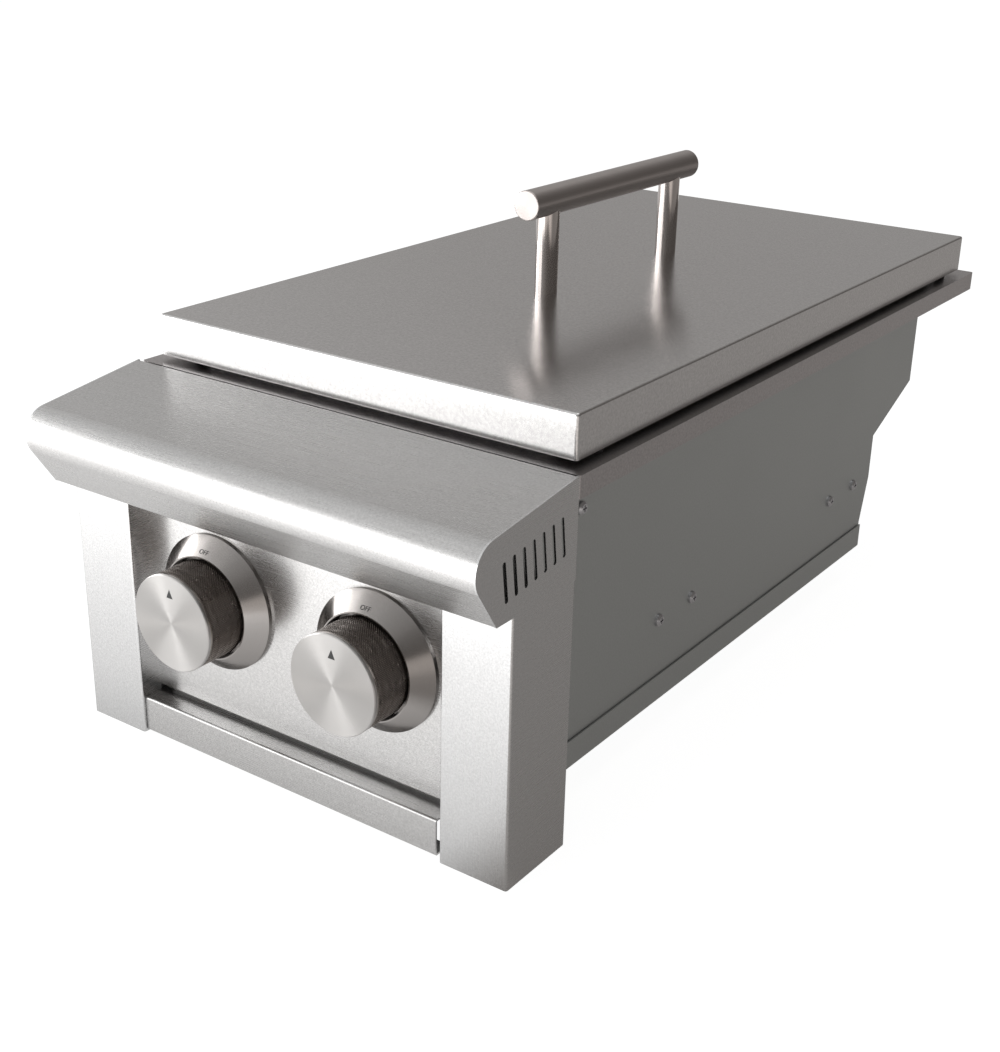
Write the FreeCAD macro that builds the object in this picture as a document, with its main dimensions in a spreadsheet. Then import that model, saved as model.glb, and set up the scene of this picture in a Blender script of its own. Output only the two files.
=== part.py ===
import FreeCAD, Part
import math
import os
import Sketcher
from types import SimpleNamespace

# A built in double side burner for an outdoor kitchen island, in millimetres.
# +Z is up and the knobs face -Y. The origin is the middle of the footprint, at the foot of the pillars.
# Depths are counted from the front faces of the pillars, heights from their feet.

doc = FreeCAD.newDocument("side_burner")
sheet = doc.addObject("Spreadsheet::Sheet", "Sizes")
V = FreeCAD.Vector

# Driving sizes: name, value, what it is on the burner
SIZES = (
    ("fascia_width", 320, "fascia, over both pillars"),
    ("fascia_depth", 56, "pillar, front face to the island's front"),
    ("fascia_sheet", 1.2, "sheet of the visor, pillars, control panel and rail"),
    ("fold_radius", 1.5, "outside radius of a folded edge"),
    ("pillar_width", 45, "front face of a pillar"),
    ("pillar_return", 16, "fold behind the inner edge of a pillar, down to the control panel"),
    ("pillar_rear_fold", 16, "fold of a pillar that lies on the island's front"),
    ("visor_height", 219.5, "top of the visor's rear edge"),
    ("visor_slope", 7.7, "fall of the visor's top towards the front, in degrees"),
    ("visor_reach", 44.1, "sharp front corner of the visor, before it is rounded, ahead of the pillars"),
    ("visor_return_angle", 56.1, "lower slope of the visor, in degrees below level"),
    ("visor_underside", 161.5, "height of the visor's underside"),
    ("visor_nose_radius", 16, "rounding of the visor's front"),
    ("visor_rear_drop", 11, "fold at the visor's rear edge"),
    ("vent_count", 7, "slots in each end of the visor"),
    ("vent_pitch", 8.5, "spacing of the slots"),
    ("vent_length", 23, "length of a slot"),
    ("vent_width", 2.8, "width of a slot"),
    ("vent_setback", 17.5, "middle of the row of slots, behind the pillars' front"),
    ("vent_drop", 27.6, "middle of the row of slots, below the visor's top"),
    ("panel_gap", 2.5, "control panel's lower edge, above the lower rail"),
    ("panel_drop", 29.5, "control panel's upper edge, below the top of the visor's rear edge"),
    ("panel_lap", 10, "how far the control panel reaches behind each pillar"),
    ("panel_fold", 12, "fold at the control panel's lower edge"),
    ("rail_setback", 2.4, "lower rail, behind the pillars' front"),
    ("rail_foot", 0.8, "height of the lower rail's lower edge"),
    ("rail_head", 24, "height of the lower rail's top"),
    ("rail_depth", 24, "top face of the lower rail, front to back"),
    ("rail_lower_fold", 12, "fold at the lower rail's foot"),
    ("rail_play", 4, "gap at the right end of the lower rail"),
    ("seat_gap", 0.3, "clearance of pieces that seat on each other"),
    ("running_gap", 0.05, "radial clearance of pieces that turn or slide in each other"),
    ("hob_inset", 1, "sides of the hob frame, in from the sides of the fascia"),
    ("hob_length", 565, "hob frame"),
    ("hob_gap", 2, "gap between the visor and the hob frame"),
    ("hob_sheet", 1, "sheet of the hob frame, basin, lid and box"),
    ("hob_lip", 13, "height of the hob frame's lip, which rests on the counter"),
    ("hob_return", 12, "inward fold under the lip"),
    ("hob_corner", 2, "corner radius of the hob frame and the lid"),
    ("counter_height", 205.5, "top of the counter, above the feet of the pillars"),
    ("rim_side_inset", 23, "raised rim, in from the sides of the hob frame"),
    ("rim_front_inset", 25, "raised rim, in from the front of the hob frame"),
    ("rim_rear_inset", 28, "raised rim, in from the rear of the hob frame"),
    ("rim_height", 10, "raised rim, above the hob frame"),
    ("rim_corner", 14, "corner radius of the raised rim"),
    ("lid_side_inset", 8, "lid, in from the sides of the hob frame"),
    ("lid_front_inset", 9, "lid, in from the front of the hob frame"),
    ("lid_rear_inset", 11, "lid, in from the rear of the hob frame"),
    ("lid_height", 25.5, "skirt of the lid"),
    ("lid_gap", 3.3, "gap under the lid's skirt, set by its bumpers"),
    ("lid_edge_radius", 1.5, "rounding of the lid's top edges"),
    ("lid_hem", 9, "inward fold at the foot of the lid's skirt"),
    ("bumper_radius", 3.5, "rubber bumper under the lid"),
    ("bumper_stem", 2, "radius of the bumper's stem"),
    ("handle_rise", 59.5, "middle of the handle bar, above the lid"),
    ("handle_length", 205, "handle bar"),
    ("handle_radius", 9.5, "handle bar"),
    ("handle_end_radius", 0.8, "rounding of the handle bar's ends"),
    ("post_inset", 25, "middle of a handle post, in from the end of the bar"),
    ("post_radius", 7.5, "handle post"),
    ("post_thread", 12, "depth of the thread in a handle post"),
    ("handle_screw_radius", 2.5, "shank of a handle screw"),
    ("handle_screw_head", 5, "radius of a handle screw's head"),
    ("screw_head_height", 2.4, "head of every screw"),
    ("screw_recess", 0.9, "width of the cross in a screw's head"),
    ("basin_side_inset", 44, "basin's opening, in from the sides of the hob frame"),
    ("basin_front_inset", 41, "basin's opening, in from the front of the hob frame"),
    ("basin_rear_gap", 7, "basin's opening, ahead of the rear panel"),
    ("basin_depth", 32.5, "depth of the basin under the hob frame"),
    ("basin_corner", 20, "corner radius of the basin"),
    ("basin_floor_radius", 9, "rounding between the basin's walls and floor"),
    ("basin_flange", 8, "edge of the basin under the hob frame"),
    ("rod_radius", 4, "rods of the grates"),
    ("rod_pitch", 30, "spacing of the top rods"),
    ("rod_count", 7, "top rods of each grate"),
    ("rod_bite", 0.8, "how deep the top rods are welded into the ring"),
    ("grate_side_lap", 6, "middle of a grate's ring, beyond the sides of the basin's opening"),
    ("grate_end_lap", 3, "middle of a grate's ring, beyond the ends of the basin's opening"),
    ("grate_corner", 16, "corner radius of the grate's ring"),
    ("burner_inset", 107, "middle of a burner, in from the end of the basin's opening"),
    ("burner_flange_radius", 44, "flange of a burner's cup"),
    ("burner_flange", 3, "thickness of that flange"),
    ("cup_radius", 31, "outside of a burner's cup"),
    ("cup_wall", 3, "wall of a burner's cup"),
    ("cup_straight", 16, "depth of the cup's straight part"),
    ("cup_neck_height", 28, "depth down to the cup's neck"),
    ("cup_depth", 36, "depth of the whole cup"),
    ("head_radius", 43, "outside of a burner's head"),
    ("head_wall", 5, "wall that holds the flame ports"),
    ("head_height", 13, "burner head above the basin's floor"),
    ("head_floor", 3, "floor of a burner's head"),
    ("head_spigot", 7, "spigot of the head, inside the cup"),
    ("port_count", 32, "flame ports in each burner head"),
    ("port_width", 2, "width of a flame port"),
    ("port_depth", 6.5, "depth of a flame port"),
    ("cap_overhang", 2, "burner cap, beyond the head"),
    ("cap_edge", 3.5, "thickness of the burner cap's edge"),
    ("cap_crown", 3.5, "rise of the burner cap's crown"),
    ("cap_spigot", 4, "depth of the burner cap's locating ring"),
    ("tube_radius", 11, "venturi tube"),
    ("tube_wall", 1.2, "venturi tube"),
    ("tube_bend", 22, "middle radius of the venturi tube's elbows"),
    ("tube_entry", 6, "how far the venturi tube stands in the cup's neck"),
    ("tube_air_gap", 5, "mouth of a venturi tube, behind the face of its air shutter"),
    ("shutter_lap", 2, "how far the orifice stands in its air shutter"),
    ("shutter_length", 13, "air shutter"),
    ("shutter_wall", 1.5, "air shutter"),
    ("shutter_window", 7, "air window, along the shutter"),
    ("bracket_width", 60, "burner bracket, front to back"),
    ("bracket_sheet", 1.5, "sheet of the burner brackets"),
    ("bracket_tab", 16, "tabs at the ends of a burner bracket, down from its flat"),
    ("screw_drop", 6.5, "side screws, below the flat of the burner brackets"),
    ("screw_spacing", 41, "side screws of one bracket"),
    ("shield_screw_drop", 19, "heat shield's screws, below its upper edge"),
    ("side_screw_radius", 2, "shank of a side screw"),
    ("side_screw_head", 4, "radius of a side screw's head"),
    ("side_screw_length", 8, "shank of a side screw, under the head"),
    ("screw_play", 0.15, "radial clearance of the screw holes"),
    ("electrode_radius", 3.4, "ceramic of an ignition electrode"),
    ("electrode_collar", 5, "radius of the ceramic's collar"),
    ("electrode_gap", 7, "middle of an electrode, beyond the edge of the burner's cap"),
    ("electrode_rise", 11, "ceramic above the basin's floor"),
    ("electrode_drop", 16, "ceramic below the basin's floor"),
    ("tip_radius", 0.9, "spark tip"),
    ("tip_length", 5, "spark tip above the ceramic"),
    ("tip_hook", 4, "spark tip, bent towards the burner"),
    ("box_inset", 19, "box under the hob, in from the sides of the hob frame"),
    ("box_floor", 26, "underside of the bottom pan"),
    ("front_fold_lap", 7, "how far the side panels' front folds lap the control panel"),
    ("rear_inset", 57, "upper rear edge of the side panels, in from the rear of the hob frame"),
    ("step_depth", 63, "step in the rear edge of the side panels"),
    ("taper_depth", 9, "lower step in that edge, down to the bottom pan"),
    ("step_top", 141, "height where the rear step starts"),
    ("step_foot", 113, "height where the rear step ends"),
    ("waist_foot", 80, "height where the rear edge turns in again"),
    ("taper_foot", 46, "height where the rear edge is upright again"),
    ("side_fold", 10, "inward fold at the top of the side panels"),
    ("side_gap", 8.5, "side panels, below the fold at the visor's rear edge"),
    ("shield_gap", 2, "heat shield, behind the air shutters"),
    ("shield_fold", 14, "side folds of the heat shield"),
    ("shield_drop", 12.5, "heat shield's upper edge, below the hob frame's sheet"),
    ("pan_front", 62, "front edge of the bottom pan, behind the pillars' front"),
    ("pan_flange", 18, "upturned sides of the bottom pan"),
    ("knob_inset", 54.8, "middle of a knob, in from the inner edge of its pillar"),
    ("knob_height", 100.3, "middle of the knobs"),
    ("knob_radius", 29.6, "knob"),
    ("knob_depth", 27.6, "knob, front to back"),
    ("knob_reach", 22.1, "face of the knobs, ahead of the pillars"),
    ("knob_play", 1.8, "gap between a knob and the bore of its bezel"),
    ("knob_wall", 2.4, "wall of the knob's skirt"),
    ("knob_cap", 2, "thickness of the knob's face cap"),
    ("knob_bevel", 0.5, "bevel of the knob's face cap"),
    ("knob_hub", 8, "radius of the knob's hub"),
    ("pointer_height", 5.6, "pointer on the knob's face"),
    ("pointer_width", 5, "pointer on the knob's face"),
    ("pointer_offset", 18.7, "pointer, from the middle of the knob"),
    ("pointer_inlay", 0.5, "depth of the pointer in the cap"),
    ("bezel_radius", 42.2, "bezel"),
    ("bezel_edge", 2.6, "straight edge of the bezel"),
    ("bezel_rise", 12.4, "bezel, ahead of the control panel"),
    ("bezel_lip", 0.8, "flat lip round the bezel's bore"),
    ("bezel_floor", 1.5, "floor of the bezel, under the knob"),
    ("bezel_screw_spacing", 44, "bezel screws, middle to middle"),
    ("bezel_screw_radius", 1.7, "shank of a bezel screw"),
    ("bezel_screw_head", 3.2, "radius of a bezel screw's head"),
    ("bezel_screw_length", 7, "shank of a bezel screw, under the head"),
    ("stem_radius", 4, "valve stem"),
    ("stem_tip", 10, "end of the stem, behind the knob's face"),
    ("stem_entry", 3, "how far the stem stands in the plug's socket"),
    ("stem_play", 0.3, "clearance round the stem where it only passes through"),
    ("stem_flat", 1.2, "depth of the flat on the stem"),
    ("panel_hole", 7, "radius of the stem hole in the control panel and bezel"),
    ("valve_flange_width", 56, "flange of a valve, on the back of the control panel"),
    ("valve_flange_height", 18, "flange of a valve"),
    ("valve_flange", 3.5, "thickness of that flange"),
    ("valve_neck_radius", 11, "neck of a valve"),
    ("valve_block", 26, "width and height of a valve's block"),
    ("valve_wall", 3, "block of a valve, beyond each end of its plug"),
    ("valve_nozzle_radius", 6, "outlet of a valve"),
    ("valve_nozzle", 6, "length of that outlet"),
    ("valve_inlet_radius", 8, "inlet of a valve, down to the manifold"),
    ("plug_radius", 8, "turning plug of a valve"),
    ("plug_front", 33, "front of the plug, behind the pillars' front"),
    ("plug_length", 21, "turning plug of a valve"),
    ("socket_depth", 13, "socket in the plug for the stem and its spring"),
    ("gas_way_radius", 2, "gas ways in the valve and plug"),
    ("spring_radius", 2.9, "push spring, middle of the wire"),
    ("spring_wire", 0.45, "radius of the push spring's wire"),
    ("spring_turns", 5, "turns of the push spring"),
    ("orifice_length", 8, "orifice, beyond the valve's outlet"),
    ("orifice_tip_radius", 3.6, "tip of the orifice"),
    ("orifice_bore", 0.9, "radius of the hole in the orifice"),
    ("manifold_radius", 10.5, "manifold pipe"),
    ("manifold_bore", 8, "inside radius of the manifold pipe"),
    ("manifold_length", 196, "manifold pipe"),
    ("manifold_drop", 32, "manifold pipe, below the knobs"),
    ("elbow_radius", 13.5, "body of the gas inlet elbow"),
    ("elbow_length", 25, "body of the gas inlet elbow"),
    ("elbow_grip", 10, "how far the elbow reaches over the manifold pipe"),
    ("inlet_radius", 7.94, "threaded gas inlet"),
    ("inlet_length", 14, "threaded gas inlet"),
    ("inlet_bore", 4.5, "bore of the gas inlet"),
    ("inlet_neck", 8, "plain neck above the inlet's thread"),
)

FULL_TURN = 360
QUARTER_TURN = 90
WIRE_SIDES = 6


class Size:
    """A number together with the sheet formula that it comes from."""

    def __init__(self, value, formula):
        self.value = value
        self.formula = formula

    def __add__(self, other):
        other = as_size(other)
        return Size(self.value + other.value, f"({self.formula} + {other.formula})")

    def __radd__(self, other):
        return as_size(other) + self

    def __sub__(self, other):
        other = as_size(other)
        return Size(self.value - other.value, f"({self.formula} - {other.formula})")

    def __rsub__(self, other):
        return as_size(other) - self

    def __mul__(self, other):
        other = as_size(other)
        return Size(self.value * other.value, f"({self.formula} * {other.formula})")

    def __rmul__(self, other):
        return as_size(other) * self

    def __truediv__(self, other):
        other = as_size(other)
        return Size(self.value / other.value, f"({self.formula} / {other.formula})")

    def __neg__(self):
        return Size(-self.value, f"(0 - {self.formula})")


def as_size(item):
    """Take a plain number as a size."""
    if isinstance(item, Size):
        return item
    return Size(float(item), f"({float(item)})")


def tangent(angle):
    """Tangent of an angle in degrees, as a size."""
    return Size(math.tan(math.radians(angle.value)), f"tan({angle.formula})")


def sine(angle):
    """Sine of an angle in degrees, as a size."""
    return Size(math.sin(math.radians(angle.value)), f"sin({angle.formula})")


def cosine(angle):
    """Cosine of an angle in degrees, as a size."""
    return Size(math.cos(math.radians(angle.value)), f"cos({angle.formula})")


def fill_sheet():
    """Write the driving sizes into the sheet and return them by name."""
    sizes = {}
    for row, (alias, value, meaning) in enumerate(SIZES, start=1):
        sheet.set(f"A{row}", alias)
        sheet.set(f"B{row}", str(value))
        sheet.set(f"C{row}", meaning)
        sheet.setAlias(f"B{row}", alias)
        sizes[alias] = Size(float(value), f"Sizes.{alias}")
    doc.recompute()
    return SimpleNamespace(**sizes)


s = fill_sheet()
parts = []


def keep(piece):
    """Note a finished sub-part, which is written out under its label."""
    parts.append(piece)
    return piece


def bind(item, prop, size):
    """Tie a property of an object to the sheet."""
    item.setExpression(prop, as_size(size).formula)


def place(item, x=0, y=0, z=0):
    """Tie the place of an object to the sheet."""
    bind(item, "Placement.Base.x", x)
    bind(item, "Placement.Base.y", y)
    bind(item, "Placement.Base.z", z)


# Planes for sketches: how each one is turned, and the direction that it is shifted in
PLANES = {
    "XY": (FreeCAD.Rotation(), "z", V(0, 0, 1)),
    "XZ": (FreeCAD.Rotation(V(1, 0, 0), QUARTER_TURN), "y", V(0, 1, 0)),
    "YZ": (FreeCAD.Rotation(V(1, 1, 1), FULL_TURN / 3), "x", V(1, 0, 0)),
}


def sketch_on(name, plane, level=0):
    """A sketch on one of the three planes, shifted to a level."""
    rotation, axis, _ = PLANES[plane]
    sketch = doc.addObject("Sketcher::SketchObject", name)
    sketch.Placement = FreeCAD.Placement(V(), rotation)
    bind(sketch, f"Placement.Base.{axis}", level)
    return sketch


def pin(sketch, geometry, point, x, y):
    """Hold a point of a sketch at x and y."""
    for kind, size in (("DistanceX", as_size(x)), ("DistanceY", as_size(y))):
        row = sketch.addConstraint(Sketcher.Constraint(kind, -1, 1, geometry, point, size.value))
        sketch.setExpression(f"Constraints[{row}]", size.formula)


def hold_radius(sketch, geometry, radius):
    """Tie the radius of an arc or circle to the sheet."""
    radius = as_size(radius)
    row = sketch.addConstraint(Sketcher.Constraint("Radius", geometry, radius.value))
    sketch.setExpression(f"Constraints[{row}]", radius.formula)


def draw_path(sketch, corners, closed=True):
    """Straight lines from corner to corner; a corner with a third value is rounded by that radius."""
    places = [V(as_size(corner[0]).value, as_size(corner[1]).value, 0) for corner in corners]
    count = len(corners)
    spans = count if closed else count - 1
    bends = {}
    for number, corner in enumerate(corners):
        if len(corner) > 2:
            bends[number] = bend_at(places, number, as_size(corner[2]).value)
    first = sketch.GeometryCount
    for number in range(spans):
        after = (number + 1) % count
        start = bends[number].leave if number in bends else places[number]
        end = bends[after].enter if after in bends else places[after]
        sketch.addGeometry(Part.LineSegment(start, end), False)
    for number, corner in enumerate(corners):
        line_in = first + (number - 1) % count
        line_out = first + number
        if number in bends:
            join_by_arc(sketch, bends[number], places[number], corner, line_in, line_out)
        elif closed or 0 < number < count - 1:
            sketch.addConstraint(Sketcher.Constraint("Coincident", line_in, 2, line_out, 1))
            pin(sketch, line_out, 1, corner[0], corner[1])
        elif number == 0:
            pin(sketch, line_out, 1, corner[0], corner[1])
        else:
            pin(sketch, first + number - 1, 2, corner[0], corner[1])


def bend_at(places, number, radius):
    """Where a rounded corner starts and ends, its middle and which way it turns."""
    corner = places[number]
    back = (places[number - 1] - corner).normalize()
    ahead = (places[(number + 1) % len(places)] - corner).normalize()
    half = back.getAngle(ahead) / 2
    trim = radius / math.tan(half)
    middle = corner + (back + ahead).normalize() * (radius / math.sin(half))
    to_left = back.cross(ahead).z < 0
    return SimpleNamespace(enter=corner + back * trim, leave=corner + ahead * trim,
                           middle=middle, radius=radius, to_left=to_left)


def join_by_arc(sketch, bend, place_of_corner, corner, line_in, line_out):
    """Round the corner between two lines, with the sharp corner kept as a construction point."""
    start, end = (bend.enter, bend.leave) if bend.to_left else (bend.leave, bend.enter)
    circle = Part.Circle(bend.middle, V(0, 0, 1), bend.radius)
    angles = [math.atan2(point.y - bend.middle.y, point.x - bend.middle.x) for point in (start, end)]
    arc = sketch.addGeometry(Part.ArcOfCircle(circle, *angles), False)
    entry, exit_ = (1, 2) if bend.to_left else (2, 1)
    sketch.addConstraint(Sketcher.Constraint("Tangent", line_in, 2, arc, entry))
    sketch.addConstraint(Sketcher.Constraint("Tangent", arc, exit_, line_out, 1))
    hold_radius(sketch, arc, corner[2])
    sharp = sketch.addGeometry(Part.Point(place_of_corner), True)
    pin(sketch, sharp, 1, corner[0], corner[1])
    sketch.addConstraint(Sketcher.Constraint("PointOnObject", sharp, 1, line_in))
    sketch.addConstraint(Sketcher.Constraint("PointOnObject", sharp, 1, line_out))


def draw_box(sketch, left, low, right, high, radius=None):
    """A rectangle, with its corners rounded where a radius is given."""
    rounding = () if radius is None else (radius,)
    ends = ((left, low), (right, low), (right, high), (left, high))
    draw_path(sketch, [end + rounding for end in ends])


def draw_circle(sketch, x, y, radius):
    """A circle."""
    centre = V(as_size(x).value, as_size(y).value, 0)
    circle = sketch.addGeometry(Part.Circle(centre, V(0, 0, 1), as_size(radius).value), False)
    pin(sketch, circle, 3, x, y)
    hold_radius(sketch, circle, radius)


def draw_slot(sketch, x, y, length, width):
    """An upright slot with round ends."""
    radius = as_size(width) / 2
    reach = as_size(length) / 2 - radius
    low = as_size(y) - reach
    high = as_size(y) + reach
    across, small = as_size(x).value, radius.value
    head = Part.Circle(V(across, high.value, 0), V(0, 0, 1), small)
    foot = Part.Circle(V(across, low.value, 0), V(0, 0, 1), small)
    top = sketch.addGeometry(Part.ArcOfCircle(head, 0, math.pi), False)
    left = sketch.addGeometry(Part.LineSegment(V(across - small, high.value, 0),
                                               V(across - small, low.value, 0)), False)
    bottom = sketch.addGeometry(Part.ArcOfCircle(foot, math.pi, 2 * math.pi), False)
    right = sketch.addGeometry(Part.LineSegment(V(across + small, low.value, 0),
                                                V(across + small, high.value, 0)), False)
    loop = (top, left, bottom, right)
    for number, piece in enumerate(loop):
        sketch.addConstraint(Sketcher.Constraint("Tangent", piece, 2, loop[(number + 1) % 4], 1))
    pin(sketch, top, 3, x, high)
    pin(sketch, bottom, 3, x, low)
    sketch.addConstraint(Sketcher.Constraint("Equal", top, bottom))
    hold_radius(sketch, top, radius)


def extrude(name, profile, direction, length, symmetric=False):
    """Push a closed sketch or a face along a direction."""
    solid = doc.addObject("Part::Extrusion", name)
    solid.Base = profile
    solid.DirMode = "Custom"
    solid.Dir = direction
    bind(solid, "LengthFwd", length)
    solid.Solid = True
    solid.Symmetric = symmetric
    solid.FaceMakerClass = "Part::FaceMakerBullseye"
    return solid


def plate(name, plane, level, thickness, draw):
    """A flat plate from a level towards the plane's positive side; draw fills its sketch."""
    sketch = sketch_on(f"{name}_outline", plane, level)
    draw(sketch)
    return extrude(name, sketch, PLANES[plane][2], thickness)


def ring_plate(name, level, thickness, outer, inner):
    """A level plate between two rounded rectangles, each given as for draw_box."""
    def draw(sketch):
        draw_box(sketch, *outer)
        draw_box(sketch, *inner)
    return plate(name, "XY", level, thickness, draw)


def folded(name, plane, corners, thickness, length, level=0, symmetric=True):
    """A folded sheet: an open path of the skin, thickened to its left and pushed out."""
    sketch = sketch_on(f"{name}_skin", plane, level)
    draw_path(sketch, corners, closed=False)
    section = doc.addObject("Part::Offset2D", f"{name}_section")
    section.Source = sketch
    bind(section, "Value", thickness if plane == "XZ" else -thickness)
    section.Fill = True
    section.Mode = "Skin"
    return extrude(name, section, PLANES[plane][2], length, symmetric)


def cylinder(name, x, y, z, radius, length, axis="z"):
    """A round bar from a point along one of the three axes."""
    turns = {"z": FreeCAD.Rotation(),
             "y": FreeCAD.Rotation(V(1, 0, 0), -QUARTER_TURN),
             "x": FreeCAD.Rotation(V(0, 1, 0), QUARTER_TURN)}
    bar = doc.addObject("Part::Cylinder", name)
    bar.Placement = FreeCAD.Placement(V(), turns[axis])
    bind(bar, "Radius", radius)
    bind(bar, "Height", length)
    place(bar, x, y, z)
    return bar


def block(name, x, y, z, width, depth, height):
    """A box from its low corner."""
    box = doc.addObject("Part::Box", name)
    bind(box, "Length", width)
    bind(box, "Width", depth)
    bind(box, "Height", height)
    place(box, x, y, z)
    return box


def fuse(name, *pieces):
    """Join pieces into one solid."""
    whole = doc.addObject("Part::MultiFuse", name)
    whole.Shapes = list(pieces)
    whole.Refine = True
    return whole


def cut(name, base, *tools):
    """Take one or more pieces away from a base."""
    rest = doc.addObject("Part::Cut", name)
    rest.Base = base
    rest.Tool = tools[0] if len(tools) == 1 else fuse(f"{name}_cutters", *tools)
    rest.Refine = True
    return rest


def group(name, *pieces):
    """Like pieces that share one node, each a solid of its own."""
    together = doc.addObject("Part::Compound", name)
    together.Links = list(pieces)
    return together


def turned_copy(name, piece, turn, x, y, z):
    """A piece that was made at the origin, turned and put in its place."""
    copy = group(name, piece)
    copy.Placement = FreeCAD.Placement(V(), turn)
    place(copy, x, y, z)
    return copy


def screw_kind(name, radius, length, head):
    """A cross-head screw that stands on its shank, with the underside of its head at the origin."""
    half = s.screw_head_height / 2
    crown = doc.addObject("Part::Cone", f"{name}_crown")
    bind(crown, "Radius1", head)
    bind(crown, "Radius2", head * 2 / 3)
    bind(crown, "Height", half)
    place(crown, 0, 0, half)
    solid = fuse(f"{name}_solid", cylinder(f"{name}_shank", 0, 0, -length, radius, length),
                 cylinder(f"{name}_head", 0, 0, 0, head, half), crown)
    narrow = s.screw_recess
    cross = [block(f"{name}_cross_{wide}", -length_x / 2, -length_y / 2, half, length_x, length_y,
                   s.screw_head_height)
             for wide, length_x, length_y in (("x", head, narrow), ("y", narrow, head))]
    return cut(f"{name}_kind", solid, *cross)


# Which way the head of a screw looks
HEAD_TO_RIGHT = FreeCAD.Rotation(V(0, 1, 0), QUARTER_TURN)
HEAD_TO_LEFT = FreeCAD.Rotation(V(0, 1, 0), -QUARTER_TURN)
HEAD_TO_FRONT = FreeCAD.Rotation(V(1, 0, 0), QUARTER_TURN)
HEAD_DOWN = FreeCAD.Rotation(V(1, 0, 0), QUARTER_TURN * 2)


def new_body(name):
    """An empty body."""
    return doc.addObject("PartDesign::Body", name)


def body_sketch(body, name, role, level=0):
    """A sketch on one of a body's own origin planes, shifted along its normal."""
    sketch = body.newObject("Sketcher::SketchObject", name)
    plane = next(item for item in body.Origin.OriginFeatures if item.Role == f"{role}_Plane")
    sketch.AttachmentSupport = [(plane, "")]
    sketch.MapMode = "FlatFace"
    bind(sketch, "AttachmentOffset.Base.z", level)
    return sketch


def pad(body, name, sketch, length):
    """Add the sketch's area along its normal."""
    feature = body.newObject("PartDesign::Pad", name)
    feature.Profile = sketch
    bind(feature, "Length", length)
    return feature


def pocket(body, name, sketch, length, along_normal=True):
    """Cut the sketch's area out of the body."""
    feature = body.newObject("PartDesign::Pocket", name)
    feature.Profile = sketch
    feature.Reversed = along_normal
    bind(feature, "Length", length)
    return feature


def around(body, name, feature, count):
    """Repeat a feature of a body about its own Z axis."""
    pattern = body.newObject("PartDesign::PolarPattern", name)
    pattern.Originals = [feature]
    pattern.Axis = (next(item for item in body.Origin.OriginFeatures if item.Role == "Z_Axis"), [""])
    pattern.Angle = FULL_TURN
    bind(pattern, "Occurrences", count)
    body.Tip = pattern
    return pattern


def round_edges(body, name, feature, radius, wanted):
    """Round the edges of a body's last feature whose bounding boxes suit the test."""
    doc.recompute()
    names = [f"Edge{number}" for number, edge in enumerate(feature.Shape.Edges, start=1)
             if wanted(edge.BoundBox)]
    fillet = body.newObject("PartDesign::Fillet", name)
    fillet.Base = (feature, names)
    bind(fillet, "Radius", radius)
    return fillet


def near(first, second):
    """Whether two plain lengths are the same."""
    return abs(first - second) < 1e-4


def turned(name, corners, x, y, z, facing="up"):
    """A turned piece from its half section of (radius, height) corners, standing up or facing -Y."""
    body = new_body(name)
    sketch = body_sketch(body, f"{name}_half_section", "XZ")
    draw_path(sketch, corners)
    spin = body.newObject("PartDesign::Revolution", f"{name}_turn")
    spin.Profile = sketch
    spin.ReferenceAxis = (sketch, ["V_Axis"])
    spin.Angle = FULL_TURN
    if facing == "front":
        body.Placement = FreeCAD.Placement(V(), FreeCAD.Rotation(V(1, 0, 0), QUARTER_TURN))
    place(body, x, y, z)
    return body


# Shared places, from the driving sizes
half_bisector = (s.visor_return_angle + s.visor_slope) / 2
bisector_fall = (s.visor_return_angle - s.visor_slope) / 2
nose_reach = (s.visor_reach + s.visor_nose_radius
              - s.visor_nose_radius / sine(half_bisector) * cosine(bisector_fall))
hob_setback = s.fascia_depth + s.hob_gap
face = nose_reach - (nose_reach + hob_setback + s.hob_length) / 2
sides = {"left": -1, "right": 1}

half_fascia = s.fascia_width / 2
half_opening = half_fascia - s.pillar_width
half_hob = half_fascia - s.hob_inset
half_box = half_hob - s.box_inset
half_lid = half_hob - s.lid_side_inset
half_rim = half_hob - s.rim_side_inset
half_basin = half_hob - s.basin_side_inset
hob_top = s.counter_height + s.hob_lip
hob_underside = hob_top - s.hob_sheet
hob_front = face + hob_setback
hob_rear = hob_front + s.hob_length
lid_foot = hob_top + s.lid_gap
lid_top = lid_foot + s.lid_height
lid_front = hob_front + s.lid_front_inset
lid_rear = hob_rear - s.lid_rear_inset
lid_middle = (lid_front + lid_rear) / 2
box_rear = hob_rear - s.rear_inset
basin_front = hob_front + s.basin_front_inset
basin_rear = box_rear - s.basin_rear_gap
basin_middle = (basin_front + basin_rear) / 2
basin_floor = hob_underside - s.basin_depth + s.hob_sheet
basin_underside = hob_underside - s.basin_depth
visor_rear = face + s.fascia_depth
visor_corner_height = s.visor_height - (s.visor_reach + s.fascia_depth) * tangent(s.visor_slope)
visor_tip = face - s.visor_reach + ((visor_corner_height - s.visor_underside)
                                    / tangent(s.visor_return_angle))
panel_face = face + s.pillar_return
panel_foot = s.rail_head + s.panel_gap
panel_head = s.visor_height - s.panel_drop
side_head = s.visor_height - s.visor_rear_drop - s.side_gap
shield_head = hob_underside - s.shield_drop
bracket_flat = s.knob_height - s.tube_radius - s.seat_gap
burners = {"front": basin_front + s.burner_inset, "rear": basin_rear - s.burner_inset}
electrode_offset = s.head_radius + s.cap_overhang + s.electrode_gap
knob_places = {side: sign * (half_opening - s.knob_inset) for side, sign in sides.items()}
box_waist = box_rear - s.step_depth
box_foot_rear = box_waist - s.taper_depth

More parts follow.
